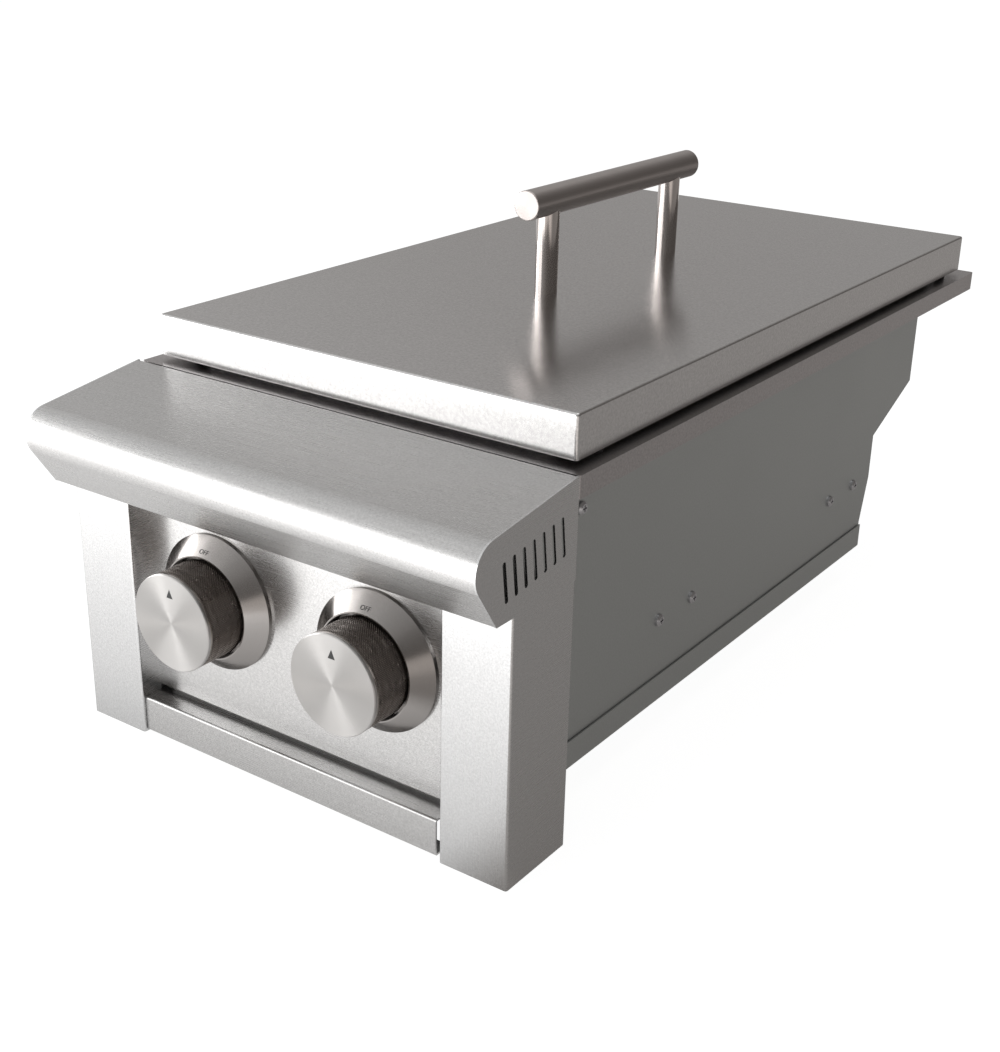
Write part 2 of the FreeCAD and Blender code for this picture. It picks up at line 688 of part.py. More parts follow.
# Depths along a valve, each from the one before
plug_start = face + s.plug_front
plug_end = plug_start + s.plug_length
stem_end = plug_start + s.stem_entry
valve_start = plug_start - s.valve_wall
valve_end = plug_end + s.valve_wall
nozzle_end = valve_end + s.valve_nozzle
orifice_end = nozzle_end + s.orifice_length
shutter_face = orifice_end - s.shutter_lap
tube_mouth = shutter_face + s.tube_air_gap
shield_face = shutter_face + s.shutter_length + s.shield_gap
manifold_y = (plug_start + plug_end) / 2


def lid_pieces():
    """The lift-off lid: folded shell, bar handle on two posts, screws and bumpers."""
    body = new_body("lid_shell")
    outline = body_sketch(body, "lid_outline", "XY", lid_foot)
    draw_box(outline, -half_lid, lid_front, half_lid, lid_rear, s.hob_corner)
    solid = pad(body, "lid_solid", outline, s.lid_height)
    rounded = round_edges(body, "lid_top_edges", solid, s.lid_edge_radius,
                          lambda box: near(box.ZMin, lid_top.value) and near(box.ZMax, lid_top.value))
    body.Tip = rounded
    inset = s.hob_sheet
    hollow = body_sketch(body, "lid_hollow_outline", "XY", lid_foot)
    draw_box(hollow, inset - half_lid, lid_front + inset, half_lid - inset, lid_rear - inset,
             s.hob_corner - inset / 2)
    pocket(body, "lid_hollow", hollow, s.lid_height - s.hob_sheet)
    hem = body_sketch(body, "lid_hem_outline", "XY", lid_foot)
    wall = inset / 2
    fold = s.lid_hem
    draw_box(hem, wall - half_lid, lid_front + wall, half_lid - wall, lid_rear - wall)
    draw_box(hem, fold - half_lid, lid_front + fold, half_lid - fold, lid_rear - fold)
    bumper_inset = (s.lid_hem + s.hob_sheet) / 2
    bumper_places = [(x, y) for x in (bumper_inset - half_lid, half_lid - bumper_inset)
                     for y in (lid_front + s.lid_hem * 3, lid_rear - s.lid_hem * 3)]
    for x, y in bumper_places:
        draw_circle(hem, x, y, s.bumper_stem + s.screw_play)
    pad(body, "lid_hem", hem, s.hob_sheet)
    holes = body_sketch(body, "lid_screw_holes", "XY", lid_top)
    reach = s.handle_length / 2 - s.post_inset
    post_places = {"front": lid_middle - reach, "rear": lid_middle + reach}
    for y in post_places.values():
        draw_circle(holes, 0, y, s.handle_screw_radius + s.screw_play)
    pocket(body, "lid_screw_cut", holes, s.hob_sheet * 2, along_normal=False)
    keep(body)
    handle_pieces(post_places)
    bumpers = []
    for number, (x, y) in enumerate(bumper_places):
        pad_part = cylinder(f"bumper_pad_{number}", x, y, hob_top, s.bumper_radius, s.lid_gap)
        stem = cylinder(f"bumper_stem_{number}", x, y, lid_foot, s.bumper_stem, s.hob_sheet * 3)
        bulb = cylinder(f"bumper_bulb_{number}", x, y, lid_foot + s.hob_sheet,
                        s.bumper_stem * 1.4, s.hob_sheet)
        bumpers.append(fuse(f"bumper_{number}", pad_part, stem, bulb))
    keep(group("lid_bumpers", *bumpers))


def handle_pieces(post_places):
    """The bar handle, its posts, which are coped to the bar, and the screws from below."""
    bar_height = lid_top + s.handle_rise
    bar_start = lid_middle - s.handle_length / 2
    bar = new_body("lid_handle_bar")
    end = body_sketch(bar, "bar_end", "XZ", -bar_start)
    draw_circle(end, 0, bar_height, s.handle_radius)
    length = pad(bar, "bar_length", end, s.handle_length)
    length.Reversed = True
    rounded = round_edges(bar, "bar_ends", length, s.handle_end_radius,
                          lambda box: near(box.YMin, box.YMax))
    bar.Tip = rounded
    keep(bar)
    screws = []
    handle_screw = screw_kind("handle_screw", s.handle_screw_radius, s.post_thread, s.handle_screw_head)
    for label, y in post_places.items():
        cope = cylinder(f"{label}_post_cope", 0, bar_start, bar_height, s.handle_radius,
                        s.handle_length, "y")
        thread = cylinder(f"{label}_post_thread", 0, y, lid_top,
                          s.handle_screw_radius + s.running_gap, s.post_thread)
        post = cylinder(f"{label}_post_bar", 0, y, lid_top, s.post_radius, s.handle_rise)
        keep(cut(f"lid_post_{label}", post, cope, thread))
        screws.append(turned_copy(f"{label}_handle_screw", handle_screw, HEAD_DOWN, 0, y,
                                  lid_top - s.hob_sheet))
    keep(fuse("lid_handle_screws", *screws))


def hob_pieces():
    """The hob frame with its lip and raised rim, and the drawn basin that hangs in it."""
    outer = (-half_hob, hob_front, half_hob, hob_rear, s.hob_corner)
    opening = (-half_basin, basin_front, half_basin, basin_rear, s.basin_corner)
    top = ring_plate("hob_top", hob_underside, s.hob_sheet, outer, opening)

    def inside(inset):
        return (inset - half_hob, hob_front + inset, half_hob - inset, hob_rear - inset)

    lip = ring_plate("hob_lip", s.counter_height, s.hob_lip, outer, inside(s.hob_sheet))
    fold = ring_plate("hob_return", s.counter_height, s.hob_sheet, outer, inside(s.hob_return))
    rim_front = hob_front + s.rim_front_inset
    rim_rear = hob_rear - s.rim_rear_inset
    wall = s.hob_sheet
    rim = ring_plate("hob_rim", hob_top, s.rim_height,
                     (-half_rim, rim_front, half_rim, rim_rear, s.rim_corner),
                     (wall - half_rim, rim_front + wall, half_rim - wall, rim_rear - wall,
                      s.rim_corner - wall))
    keep(fuse("hob_frame", top, lip, fold, rim))

    outside = pressed_form("basin_outside", wall, basin_underside, s.basin_floor_radius + wall)
    inside_form = pressed_form("basin_inside", 0, basin_floor, s.basin_floor_radius)
    reach = s.basin_flange
    flange = ring_plate("basin_flange_plate", hob_underside - wall, wall,
                        (-half_basin - reach, basin_front - reach, half_basin + reach,
                         basin_rear + reach, s.basin_corner + reach), opening)
    holes = []
    for label, y in burners.items():
        holes.append(cylinder(f"{label}_cup_hole", 0, y, basin_underside - wall,
                              s.cup_radius - s.cup_wall, wall * 3))
        holes.append(cylinder(f"{label}_electrode_hole", 0, y - electrode_offset,
                              basin_underside - wall, s.electrode_radius + s.seat_gap, wall * 3))
    keep(cut("burner_basin", fuse("basin_pressing", outside, flange), inside_form, *holes))


def pressed_form(name, grow, foot, foot_radius):
    """The outer or inner form of the drawn basin, up to the hob frame, with a rounded floor edge."""
    half = half_basin + grow
    body = new_body(name)
    outline = body_sketch(body, f"{name}_outline", "XY", foot)
    draw_box(outline, -half, basin_front - grow, half, basin_rear + grow, s.basin_corner + grow)
    solid = pad(body, f"{name}_solid", outline, hob_underside - foot)
    rounded = round_edges(body, f"{name}_foot", solid, foot_radius,
                          lambda box: near(box.ZMin, foot.value) and near(box.ZMax, foot.value))
    body.Tip = rounded
    return body


def grate(label, front, rear):
    """A lift-off rod grate: a bent ring with straight rods welded on top."""
    ring_height = hob_top + s.seat_gap + s.rod_radius
    half_width = half_basin + s.grate_side_lap
    path = sketch_on(f"{label}_grate_path", "XY", ring_height)
    draw_box(path, -half_width, front, half_width, rear, s.grate_corner)
    section = sketch_on(f"{label}_grate_section", "YZ")
    draw_circle(section, front, ring_height, s.rod_radius)
    ring = doc.addObject("Part::Sweep", f"{label}_grate_ring")
    ring.Sections = [section]
    ring.Spine = (path, [])
    ring.Solid = True
    ring.Frenet = True
    top_height = ring_height + s.rod_radius * 2 - s.rod_bite
    rods = []
    for number in range(int(s.rod_count.value)):
        x = (number - (s.rod_count - 1) / 2) * s.rod_pitch
        rods.append(cylinder(f"{label}_rod_{number}", x, front - s.rod_radius / 2, top_height,
                             s.rod_radius, rear - front + s.rod_radius, "y"))
    keep(fuse(f"{label}_grate", ring, *rods))


def burner(label, middle):
    """A burner: mixing cup under the basin, ported head on its floor, and a loose cap."""
    inner = s.cup_radius - s.cup_wall
    neck_bore = s.tube_radius + s.seat_gap
    neck = neck_bore + s.cup_wall
    cup = turned(f"{label}_burner_cup", [
        (neck_bore, -s.cup_depth), (neck, -s.cup_depth), (neck, -s.cup_neck_height),
        (s.cup_radius, -s.cup_straight), (s.cup_radius, -s.burner_flange),
        (s.burner_flange_radius, -s.burner_flange), (s.burner_flange_radius, 0), (inner, 0),
        (inner, s.cup_wall - s.cup_straight), (neck_bore, s.cup_wall - s.cup_neck_height),
    ], 0, middle, basin_underside)
    keep(cup)

    spigot = inner - s.seat_gap
    throat = spigot - s.head_floor
    chamber = s.head_radius - s.head_wall
    head = turned(f"{label}_burner_head", [
        (throat, -s.head_spigot), (spigot, -s.head_spigot), (spigot, 0), (s.head_radius, 0),
        (s.head_radius, s.head_height), (chamber, s.head_height), (chamber, s.head_floor),
        (throat, s.head_floor),
    ], 0, middle, basin_floor)
    port = body_sketch(head, f"{label}_port_outline", "XY", s.head_height)
    draw_box(port, chamber - s.head_wall / 2, -s.port_width / 2,
             s.head_radius + s.head_wall / 2, s.port_width / 2)
    slot = pocket(head, f"{label}_port", port, s.port_depth, along_normal=False)
    around(head, f"{label}_ports", slot, s.port_count)
    keep(head)

    rim = s.head_radius + s.cap_overhang
    collar = chamber - s.seat_gap
    foot = basin_floor + s.head_height
    cap = turned(f"{label}_burner_cap", [
        (0, 0), (collar - s.head_floor, 0), (collar - s.head_floor, -s.cap_spigot),
        (collar, -s.cap_spigot), (collar, 0), (rim, 0), (rim, s.cap_edge, s.fold_radius),
        (rim / 2, s.cap_edge + s.cap_crown, s.knob_radius), (0, s.cap_edge + s.cap_crown),
    ], 0, middle, foot)
    keep(cap)

    spark = middle - electrode_offset
    ceramic = turned(f"{label}_electrode", [
        (0, -s.electrode_drop), (s.electrode_radius, -s.electrode_drop), (s.electrode_radius, 0),
        (s.electrode_collar, 0), (s.electrode_collar, s.tip_length / 2),
        (s.electrode_radius, s.tip_length / 2), (s.electrode_radius, s.electrode_rise),
        (0, s.electrode_rise),
    ], 0, spark, basin_floor)
    keep(ceramic)
    tip_foot = basin_floor + s.electrode_rise
    upright = cylinder(f"{label}_tip_upright", 0, spark, tip_foot, s.tip_radius, s.tip_length)
    hook = cylinder(f"{label}_tip_hook", 0, spark - s.tip_radius, tip_foot + s.tip_length,
                    s.tip_radius, s.tip_hook + s.tip_radius, "y")
    keep(fuse(f"{label}_spark_tip", upright, hook))


def burner_bracket(label, middle):
    """A folded bracket across the box, which carries the elbow of a venturi tube."""
    wall = half_box - s.hob_sheet
    foot = bracket_flat - s.bracket_tab
    channel = folded(f"{label}_channel", "XZ", [
        (-wall, foot), (-wall, bracket_flat, s.bracket_sheet * 2),
        (wall, bracket_flat, s.bracket_sheet * 2), (wall, foot),
    ], -s.bracket_sheet, s.bracket_width, middle)
    holes = [cylinder(f"{label}_bracket_hole_{number}", -half_box, middle + shift,
                      bracket_flat - s.screw_drop, s.side_screw_radius + s.screw_play,
                      half_box * 2, "x")
             for number, shift in enumerate((-s.screw_spacing / 2, s.screw_spacing / 2))]
    keep(cut(f"{label}_burner_bracket", channel, *holes))


def elbow(name, x, y, z, radius, turn):
    """A quarter bend of a venturi tube about a point, turned to its own quarter and plane."""
    bend = doc.addObject("Part::Torus", name)
    bend.Placement = FreeCAD.Placement(V(), turn)
    bend.Angle3 = QUARTER_TURN
    bind(bend, "Radius1", s.tube_bend)
    bind(bend, "Radius2", radius)
    place(bend, x, y, z)
    return bend


def tube_run(name, x, middle, sign, radius):
    """Round bars end to end along the way of a venturi tube, for its outside or its bore."""
    level = s.knob_height
    bend = s.tube_bend
    riser_foot = level + bend
    riser_head = basin_underside - s.cup_depth + s.tube_entry
    level_turn = FreeCAD.Rotation(V(0, 0, 1), 0 if sign > 0 else QUARTER_TURN)
    on_end = FreeCAD.Rotation(V(1, 0, 0), QUARTER_TURN)
    rising_turn = on_end.multiply(FreeCAD.Rotation(V(0, 0, 1), QUARTER_TURN * (2 if sign > 0 else 3)))
    return [
        cylinder(f"{name}_back", x, tube_mouth, level, radius, middle - bend - tube_mouth, "y"),
        elbow(f"{name}_level_elbow", x - sign * bend, middle - bend, level, radius, level_turn),
        cylinder(f"{name}_cross", bend if sign > 0 else x + bend, middle, level, radius,
                 x * sign - bend * 2, "x"),
        elbow(f"{name}_rising_elbow", sign * bend, middle, riser_foot, radius, rising_turn),
        cylinder(f"{name}_riser", 0, middle, riser_foot, radius, riser_head - riser_foot),
    ]


def venturi_tube(label, side, middle):
    """A venturi tube: straight back from the valve, then elbows inwards and up into the cup."""
    outside, bore = [tube_run(f"{label}_{role}", knob_places[side], middle, sides[side], radius)
                     for role, radius in (("tube_outside", s.tube_radius),
                                          ("tube_bore", s.tube_radius - s.tube_wall))]
    walls = [cut(f"{label}_tube_wall_{number}", bar, way)
             for number, (bar, way) in enumerate(zip(outside, bore))]
    keep(fuse(f"{label}_venturi_tube", *walls))


def air_shutter(side, x):
    """A sleeve with two air windows over the mouth of a venturi tube."""
    inner = s.tube_radius + s.seat_gap
    outer = inner + s.shutter_wall
    mouth = s.valve_nozzle_radius + s.stem_play
    sleeve = turned(f"{side}_shutter_sleeve", [
        (mouth, 0), (outer, 0), (outer, -s.shutter_length), (inner, -s.shutter_length),
        (inner, -s.shutter_wall), (mouth, -s.shutter_wall),
    ], x, shutter_face, s.knob_height, "front")
    window = block(f"{side}_shutter_window", x - outer * 2, shutter_face + s.shutter_wall * 2,
                   s.knob_height - s.shutter_window / 2, outer * 4, s.shutter_window / 2,
                   s.shutter_window)
    keep(cut(f"{side}_air_shutter", sleeve, window))


def valve(side, x):
    """A gas valve: body, turning plug, push spring and stem, with the orifice at its outlet."""
    level = s.knob_height
    flange_front = panel_face + s.fascia_sheet
    half_flange = s.valve_flange_width / 2
    flange = block(f"{side}_valve_flange", x - half_flange, flange_front,
                   level - s.valve_flange_height / 2, s.valve_flange_width, s.valve_flange,
                   s.valve_flange_height)
    neck = cylinder(f"{side}_valve_neck", x, flange_front, level, s.valve_neck_radius,
                    valve_end - flange_front - s.fold_radius, "y")
    half = s.valve_block / 2
    core = block(f"{side}_valve_core", x - half, valve_start, level - half,
                 s.valve_block, valve_end - valve_start, s.valve_block)
    nozzle_start = valve_end - s.fold_radius
    nozzle = cylinder(f"{side}_valve_nozzle", x, nozzle_start, level, s.valve_nozzle_radius,
                      nozzle_end - nozzle_start, "y")
    pipe_z = level - s.manifold_drop
    inlet = cylinder(f"{side}_valve_inlet", x, manifold_y, pipe_z, s.valve_inlet_radius,
                     s.manifold_drop - half + s.fold_radius)
    saddle = cylinder(f"{side}_valve_saddle", x - s.valve_block, manifold_y, pipe_z,
                      s.manifold_radius, s.valve_block * 2, "x")
    bore = cylinder(f"{side}_valve_bore", x, plug_start - s.stem_play, level,
                    s.plug_radius + s.running_gap, s.plug_length + s.stem_play * 2, "y")
    stem_way = cylinder(f"{side}_stem_way", x, face, level, s.stem_radius + s.stem_play,
                        s.plug_front, "y")
    gas_in = cylinder(f"{side}_gas_in", x, manifold_y, pipe_z, s.gas_way_radius, s.manifold_drop)
    gas_out = cylinder(f"{side}_gas_out", x, plug_end, level, s.gas_way_radius,
                       orifice_end - plug_end, "y")
    screw_ways = [cylinder(f"{side}_flange_hole_{number}", x + shift, face, level,
                           s.bezel_screw_radius + s.running_gap, s.plug_front, "y")
                  for number, shift in enumerate((-s.bezel_screw_spacing / 2,
                                                  s.bezel_screw_spacing / 2))]
    casting = fuse(f"{side}_valve_casting", flange, neck, core, nozzle, inlet)
    keep(cut(f"{side}_valve_body", casting, saddle, bore, stem_way, gas_in, gas_out, *screw_ways))

    socket = s.stem_radius + s.running_gap
    plug = turned(f"{side}_plug_turned", [
        (0, -s.plug_length), (s.plug_radius, -s.plug_length), (s.plug_radius, 0), (socket, 0),
        (socket, -s.socket_depth), (0, -s.socket_depth),
    ], x, plug_start, level, "front")
    cross_way = cylinder(f"{side}_plug_way", x, plug_end - s.gas_way_radius * 2,
                         level - s.plug_radius * 2, s.gas_way_radius, s.plug_radius * 2)
    keep(cut(f"{side}_valve_plug", plug, cross_way))

    stem_start = face - s.knob_reach + s.stem_tip
    stem_bar = cylinder(f"{side}_stem_bar", x, stem_start, level, s.stem_radius,
                        stem_end - stem_start, "y")
    flat = block(f"{side}_stem_flat", x - s.stem_radius, stem_start - s.stem_flat,
                 level + s.stem_radius - s.stem_flat, s.stem_radius * 2,
                 s.knob_depth - s.stem_tip, s.stem_radius)
    keep(cut(f"{side}_valve_stem", stem_bar, flat))
    push_spring(side, x)

    hood = s.orifice_length
    keep(turned(f"{side}_orifice", [
        (s.orifice_bore, -hood), (s.orifice_tip_radius, -hood), (s.valve_nozzle_radius, -hood / 2),
        (s.valve_nozzle_radius, 0), (s.orifice_bore, 0),
    ], x, nozzle_end, level, "front"))


def push_spring(side, x):
    """The coil that brings a pushed stem back, between the stem and the end of the plug's socket."""
    start = stem_end + s.spring_wire + s.running_gap
    length = plug_start + s.socket_depth - s.spring_wire - s.running_gap - start
    coil = doc.addObject("Part::Helix", f"{side}_spring_coil")
    bind(coil, "Height", length)
    bind(coil, "Pitch", length / s.spring_turns)
    bind(coil, "Radius", s.spring_radius)
    wire = doc.addObject("Part::RegularPolygon", f"{side}_spring_wire")
    wire.Polygon = WIRE_SIDES
    wire.Placement = FreeCAD.Placement(V(), FreeCAD.Rotation(V(1, 0, 0), QUARTER_TURN))
    bind(wire, "Circumradius", s.spring_wire)
    place(wire, s.spring_radius)
    wound = doc.addObject("Part::Sweep", f"{side}_spring_wound")
    wound.Sections = [wire]
    wound.Spine = (coil, [])
    wound.Solid = True
    wound.Frenet = True
    keep(turned_copy(f"{side}_valve_spring", wound, FreeCAD.Rotation(V(1, 0, 0), -QUARTER_TURN),
                     x, start, s.knob_height))


def manifold_pieces():
    """The manifold pipe under the valves and the elbow that takes the gas hose from below."""
    level = s.knob_height - s.manifold_drop
    y = manifold_y
    half = s.manifold_length / 2
    pipe = cylinder("manifold_tube", -half, y, level, s.manifold_radius, s.manifold_length, "x")
    bore = cylinder("manifold_bore", -half, y, level, s.manifold_bore,
                    s.manifold_length - s.manifold_radius, "x")
    ports = [cylinder(f"{side}_manifold_port", x, y, level, s.gas_way_radius, s.manifold_radius * 2)
             for side, x in knob_places.items()]
    keep(cut("manifold_pipe", pipe, bore, *ports))
    elbow_end = s.elbow_grip - half
    elbow_start = elbow_end - s.elbow_length
    drop_x = elbow_start + s.elbow_radius / 2 + s.inlet_radius / 2
    shell = cylinder("elbow_body", elbow_start, y, level, s.elbow_radius, s.elbow_length, "x")
    neck_foot = level - s.elbow_radius - s.inlet_neck
    neck = cylinder("elbow_neck", drop_x, y, neck_foot, s.inlet_radius + s.fascia_sheet,
                    s.elbow_radius + s.inlet_neck)
    thread = cylinder("elbow_thread", drop_x, y, neck_foot - s.inlet_length, s.inlet_radius,
                      s.inlet_length * 2)
    grip = cylinder("elbow_grip_bore", -half, y, level, s.manifold_radius + s.running_gap,
                    s.elbow_grip * 2, "x")
    way = cylinder("elbow_way", drop_x, y, level, s.inlet_bore, half - s.elbow_grip, "x")
    fall = cylinder("elbow_fall", drop_x, y, neck_foot - s.inlet_length * 2, s.inlet_bore,
                    level - neck_foot + s.inlet_length * 2)
    keep(cut("gas_inlet_elbow", fuse("elbow_solid", shell, neck, thread), grip, way, fall))


def rear_profile():
    """Rear edge of the box as (depth, height) corners, from the top down."""
    return [
        (box_rear, hob_underside), (box_rear, s.step_top), (box_waist, s.step_foot),
        (box_waist, s.waist_foot), (box_foot_rear, s.taper_foot),
        (box_foot_rear, s.box_floor + s.hob_sheet),
    ]


def screw_points():
    """Places of the screws in each side panel, as (depth, height)."""
    points = []
    for middle in burners.values():
        for shift in (-s.screw_spacing / 2, s.screw_spacing / 2):
            points.append((middle + shift, bracket_flat - s.screw_drop))
    points.append((shield_face + s.shield_fold / 2, shield_head - s.shield_screw_drop))
    return points


def side_panel(side, sign):
    """A side of the box with its stepped rear edge and the fold that hangs under the hob."""
    front = panel_face + s.fascia_sheet
    shoulder = hob_front + s.hob_return + s.seat_gap

    def draw(sketch):
        draw_path(sketch, [
            (front, s.box_floor + s.hob_sheet), (front, side_head), (shoulder, side_head),
            (shoulder, hob_underside),
        ] + rear_profile())
        for y, z in screw_points():
            draw_circle(sketch, y, z, s.side_screw_radius + s.screw_play)

    inner = sign * half_box if sign < 0 else half_box - s.hob_sheet
    wall = plate(f"{side}_side_wall", "YZ", inner, s.hob_sheet, draw)
    fold = block(f"{side}_side_fold", inner if sign < 0 else half_box - s.side_fold, shield_face,
                 hob_underside - s.hob_sheet, s.side_fold, box_rear - shield_face, s.hob_sheet)
    lap_x = half_opening + s.panel_lap - s.front_fold_lap
    foot = panel_foot + s.fold_radius * 2
    front_fold = block(f"{side}_front_fold", -half_box if sign < 0 else lap_x, front, foot,
                       half_box - lap_x, s.hob_sheet, panel_head - foot)
    keep(fuse(f"{side}_side_panel", wall, fold, front_fold))


def box_pieces():
    """The box below the hob: sides, stepped rear panel, bottom pan, heat shield and side screws."""
    for side, sign in sides.items():
        side_panel(side, sign)
    inside = (half_box - s.hob_sheet) * 2
    corners = [(y, z) if number in (0, len(rear_profile()) - 1) else (y, z, s.fold_radius * 2)
               for number, (y, z) in enumerate(rear_profile())]
    corners[0] = (corners[0][0], hob_underside - s.hob_sheet - s.seat_gap)
    keep(folded("rear_panel", "YZ", corners, -s.hob_sheet, inside))

    pan_fold = s.hob_sheet + s.seat_gap
    pan_wall = half_box + pan_fold
    flange_top = s.box_floor + s.pan_flange
    pan_front = face + s.pan_front
    keep(folded("bottom_pan", "XZ", [
        (-pan_wall, flange_top), (-pan_wall, s.box_floor, pan_fold),
        (pan_wall, s.box_floor, pan_fold), (pan_wall, flange_top),
    ], s.hob_sheet, box_foot_rear - pan_front, (pan_front + box_foot_rear) / 2))

    wall = half_box - s.hob_sheet
    fold_y = shield_face + s.shield_fold
    foot = s.box_floor + s.hob_sheet
    shield = folded("shield_sheet", "XY", [
        (-wall, fold_y), (-wall, shield_face, s.fold_radius), (wall, shield_face, s.fold_radius),
        (wall, fold_y),
    ], s.hob_sheet, shield_head - foot, foot, symmetric=False)
    holes = [cylinder(f"{side}_shield_hole", x, shield_face - s.shield_fold / 2, s.knob_height,
                      s.tube_radius + s.seat_gap, s.shield_fold, "y")
             for side, x in knob_places.items()]
    screw_way = cylinder("shield_screw_way", -half_box, shield_face + s.shield_fold / 2,
                         shield_head - s.shield_screw_drop,
                         s.side_screw_radius + s.screw_play, half_box * 2, "x")
    keep(cut("heat_shield", shield, screw_way, *holes))

    side_screw = screw_kind("side_screw", s.side_screw_radius, s.side_screw_length, s.side_screw_head)
    screws = []
    for side, sign in sides.items():
        turn = HEAD_TO_RIGHT if sign > 0 else HEAD_TO_LEFT
        for number, (y, z) in enumerate(screw_points()):
            screws.append(turned_copy(f"{side}_side_screw_{number}", side_screw, turn,
                                      sign * half_box, y, z))
    keep(fuse("side_screws", *screws))


def visor_skin(inner_rounding):
    """Side view of the visor as (depth, height) corners, from its rear top edge to its underside."""
    return [
        (visor_rear, s.visor_height) + inner_rounding,
        (face - s.visor_reach, visor_corner_height, s.visor_nose_radius),
        (visor_tip, s.visor_underside) + inner_rounding,
    ]


def visor():
    """The bull-nosed visor, one folded sheet between the two end plates."""
    rounding = (s.fold_radius,)
    corners = ([(visor_rear, s.visor_height - s.visor_rear_drop)] + visor_skin(rounding)
               + [(panel_face - s.seat_gap, s.visor_underside)])
    length = s.fascia_width - s.fascia_sheet * 2
    keep(folded("visor", "YZ", corners, s.fascia_sheet, length))


def pillar(side, sign):
    """A pillar and visor end in one folded sheet, with the row of vent slots."""
    front = face
    rear = visor_rear
    fold_x = sign * (half_fascia - s.pillar_rear_fold)
    outer_x = sign * half_fascia
    inner_x = sign * half_opening
    column = folded(f"{side}_column", "XY", [
        (fold_x, rear), (outer_x, rear, s.fold_radius), (outer_x, front, s.fold_radius),
        (inner_x, front, s.fold_radius), (inner_x, panel_face),
    ], -sign * s.fascia_sheet, s.visor_underside, symmetric=False)

    def draw(sketch):
        draw_path(sketch, visor_skin(()) + [(visor_rear, s.visor_underside)])

    plate_x = outer_x if sign < 0 else outer_x - s.fascia_sheet
    end = plate(f"{side}_visor_end", "YZ", plate_x, s.fascia_sheet, draw)

    slots = sketch_on(f"{side}_vent_outline", "YZ")
    for number in range(int(s.vent_count.value)):
        draw_slot(slots, (number - (s.vent_count - 1) / 2) * s.vent_pitch, 0, s.vent_length,
                  s.vent_width)
    punched = extrude(f"{side}_vent_punch", slots, V(1, 0, 0), s.fascia_sheet * 4, symmetric=True)
    row = group(f"{side}_vent_row", punched)
    row.Placement = FreeCAD.Placement(V(), FreeCAD.Rotation(V(1, 0, 0), s.visor_slope.value))
    bind(row, "Placement.Rotation.Angle", s.visor_slope)
    row_height = (s.visor_height - s.vent_drop
                  - (s.fascia_depth - s.vent_setback) * tangent(s.visor_slope))
    place(row, outer_x, face + s.vent_setback, row_height)
    keep(cut(f"{side}_pillar", fuse(f"{side}_pillar_sheet", column, end), row))


def control_panel():
    """The recessed control panel behind the pillars, with holes for the stems and screws."""
    width = (half_opening + s.panel_lap) * 2
    sheet_part = folded("panel_sheet", "YZ", [
        (panel_face, panel_head), (panel_face, panel_foot, s.fold_radius),
        (panel_face + s.panel_fold, panel_foot),
    ], s.fascia_sheet, width)
    holes = []
    for side, x in knob_places.items():
        holes.append(cylinder(f"{side}_stem_hole", x, face, s.knob_height, s.panel_hole,
                              s.fascia_depth, "y"))
        for number, shift in enumerate((-s.bezel_screw_spacing / 2, s.bezel_screw_spacing / 2)):
            holes.append(cylinder(f"{side}_panel_screw_hole_{number}", x + shift, face, s.knob_height,
                                  s.bezel_screw_radius + s.screw_play, s.fascia_depth, "y"))
    keep(cut("control_panel", sheet_part, *holes))


def lower_rail():
    """The folded rail between the feet of the pillars, with play at its right end."""
    front = face + s.rail_setback
    left = s.seat_gap - half_opening
    length = half_opening * 2 - s.seat_gap - s.rail_play
    keep(folded("lower_rail", "YZ", [
        (front + s.rail_depth, s.rail_head), (front, s.rail_head, s.fold_radius),
        (front, s.rail_foot, s.fold_radius), (front + s.rail_lower_fold, s.rail_foot),
    ], s.fascia_sheet, length, left, symmetric=False))


def bezel(side, x, screw):
    """The coned bezel round a knob; its two screws are handed back."""
    keep_out = s.panel_hole
    bore = s.knob_radius + s.knob_play
    ring = turned(f"{side}_bezel_turned", [
        (keep_out, 0), (s.bezel_radius, 0), (s.bezel_radius, s.bezel_edge),
        (bore + s.bezel_lip, s.bezel_rise), (bore, s.bezel_rise), (bore, s.bezel_floor),
        (keep_out, s.bezel_floor),
    ], x, panel_face, s.knob_height, "front")
    shifts = (-s.bezel_screw_spacing / 2, s.bezel_screw_spacing / 2)
    holes = [cylinder(f"{side}_bezel_hole_{number}", x + shift, face, s.knob_height,
                      s.bezel_screw_radius + s.screw_play, s.fascia_depth, "y")
             for number, shift in enumerate(shifts)]
    keep(cut(f"{side}_bezel", ring, *holes))
    return [turned_copy(f"{side}_bezel_screw_{number}", screw, HEAD_TO_FRONT, x + shift,
                        panel_face - s.bezel_floor, s.knob_height)
            for number, shift in enumerate(shifts)]


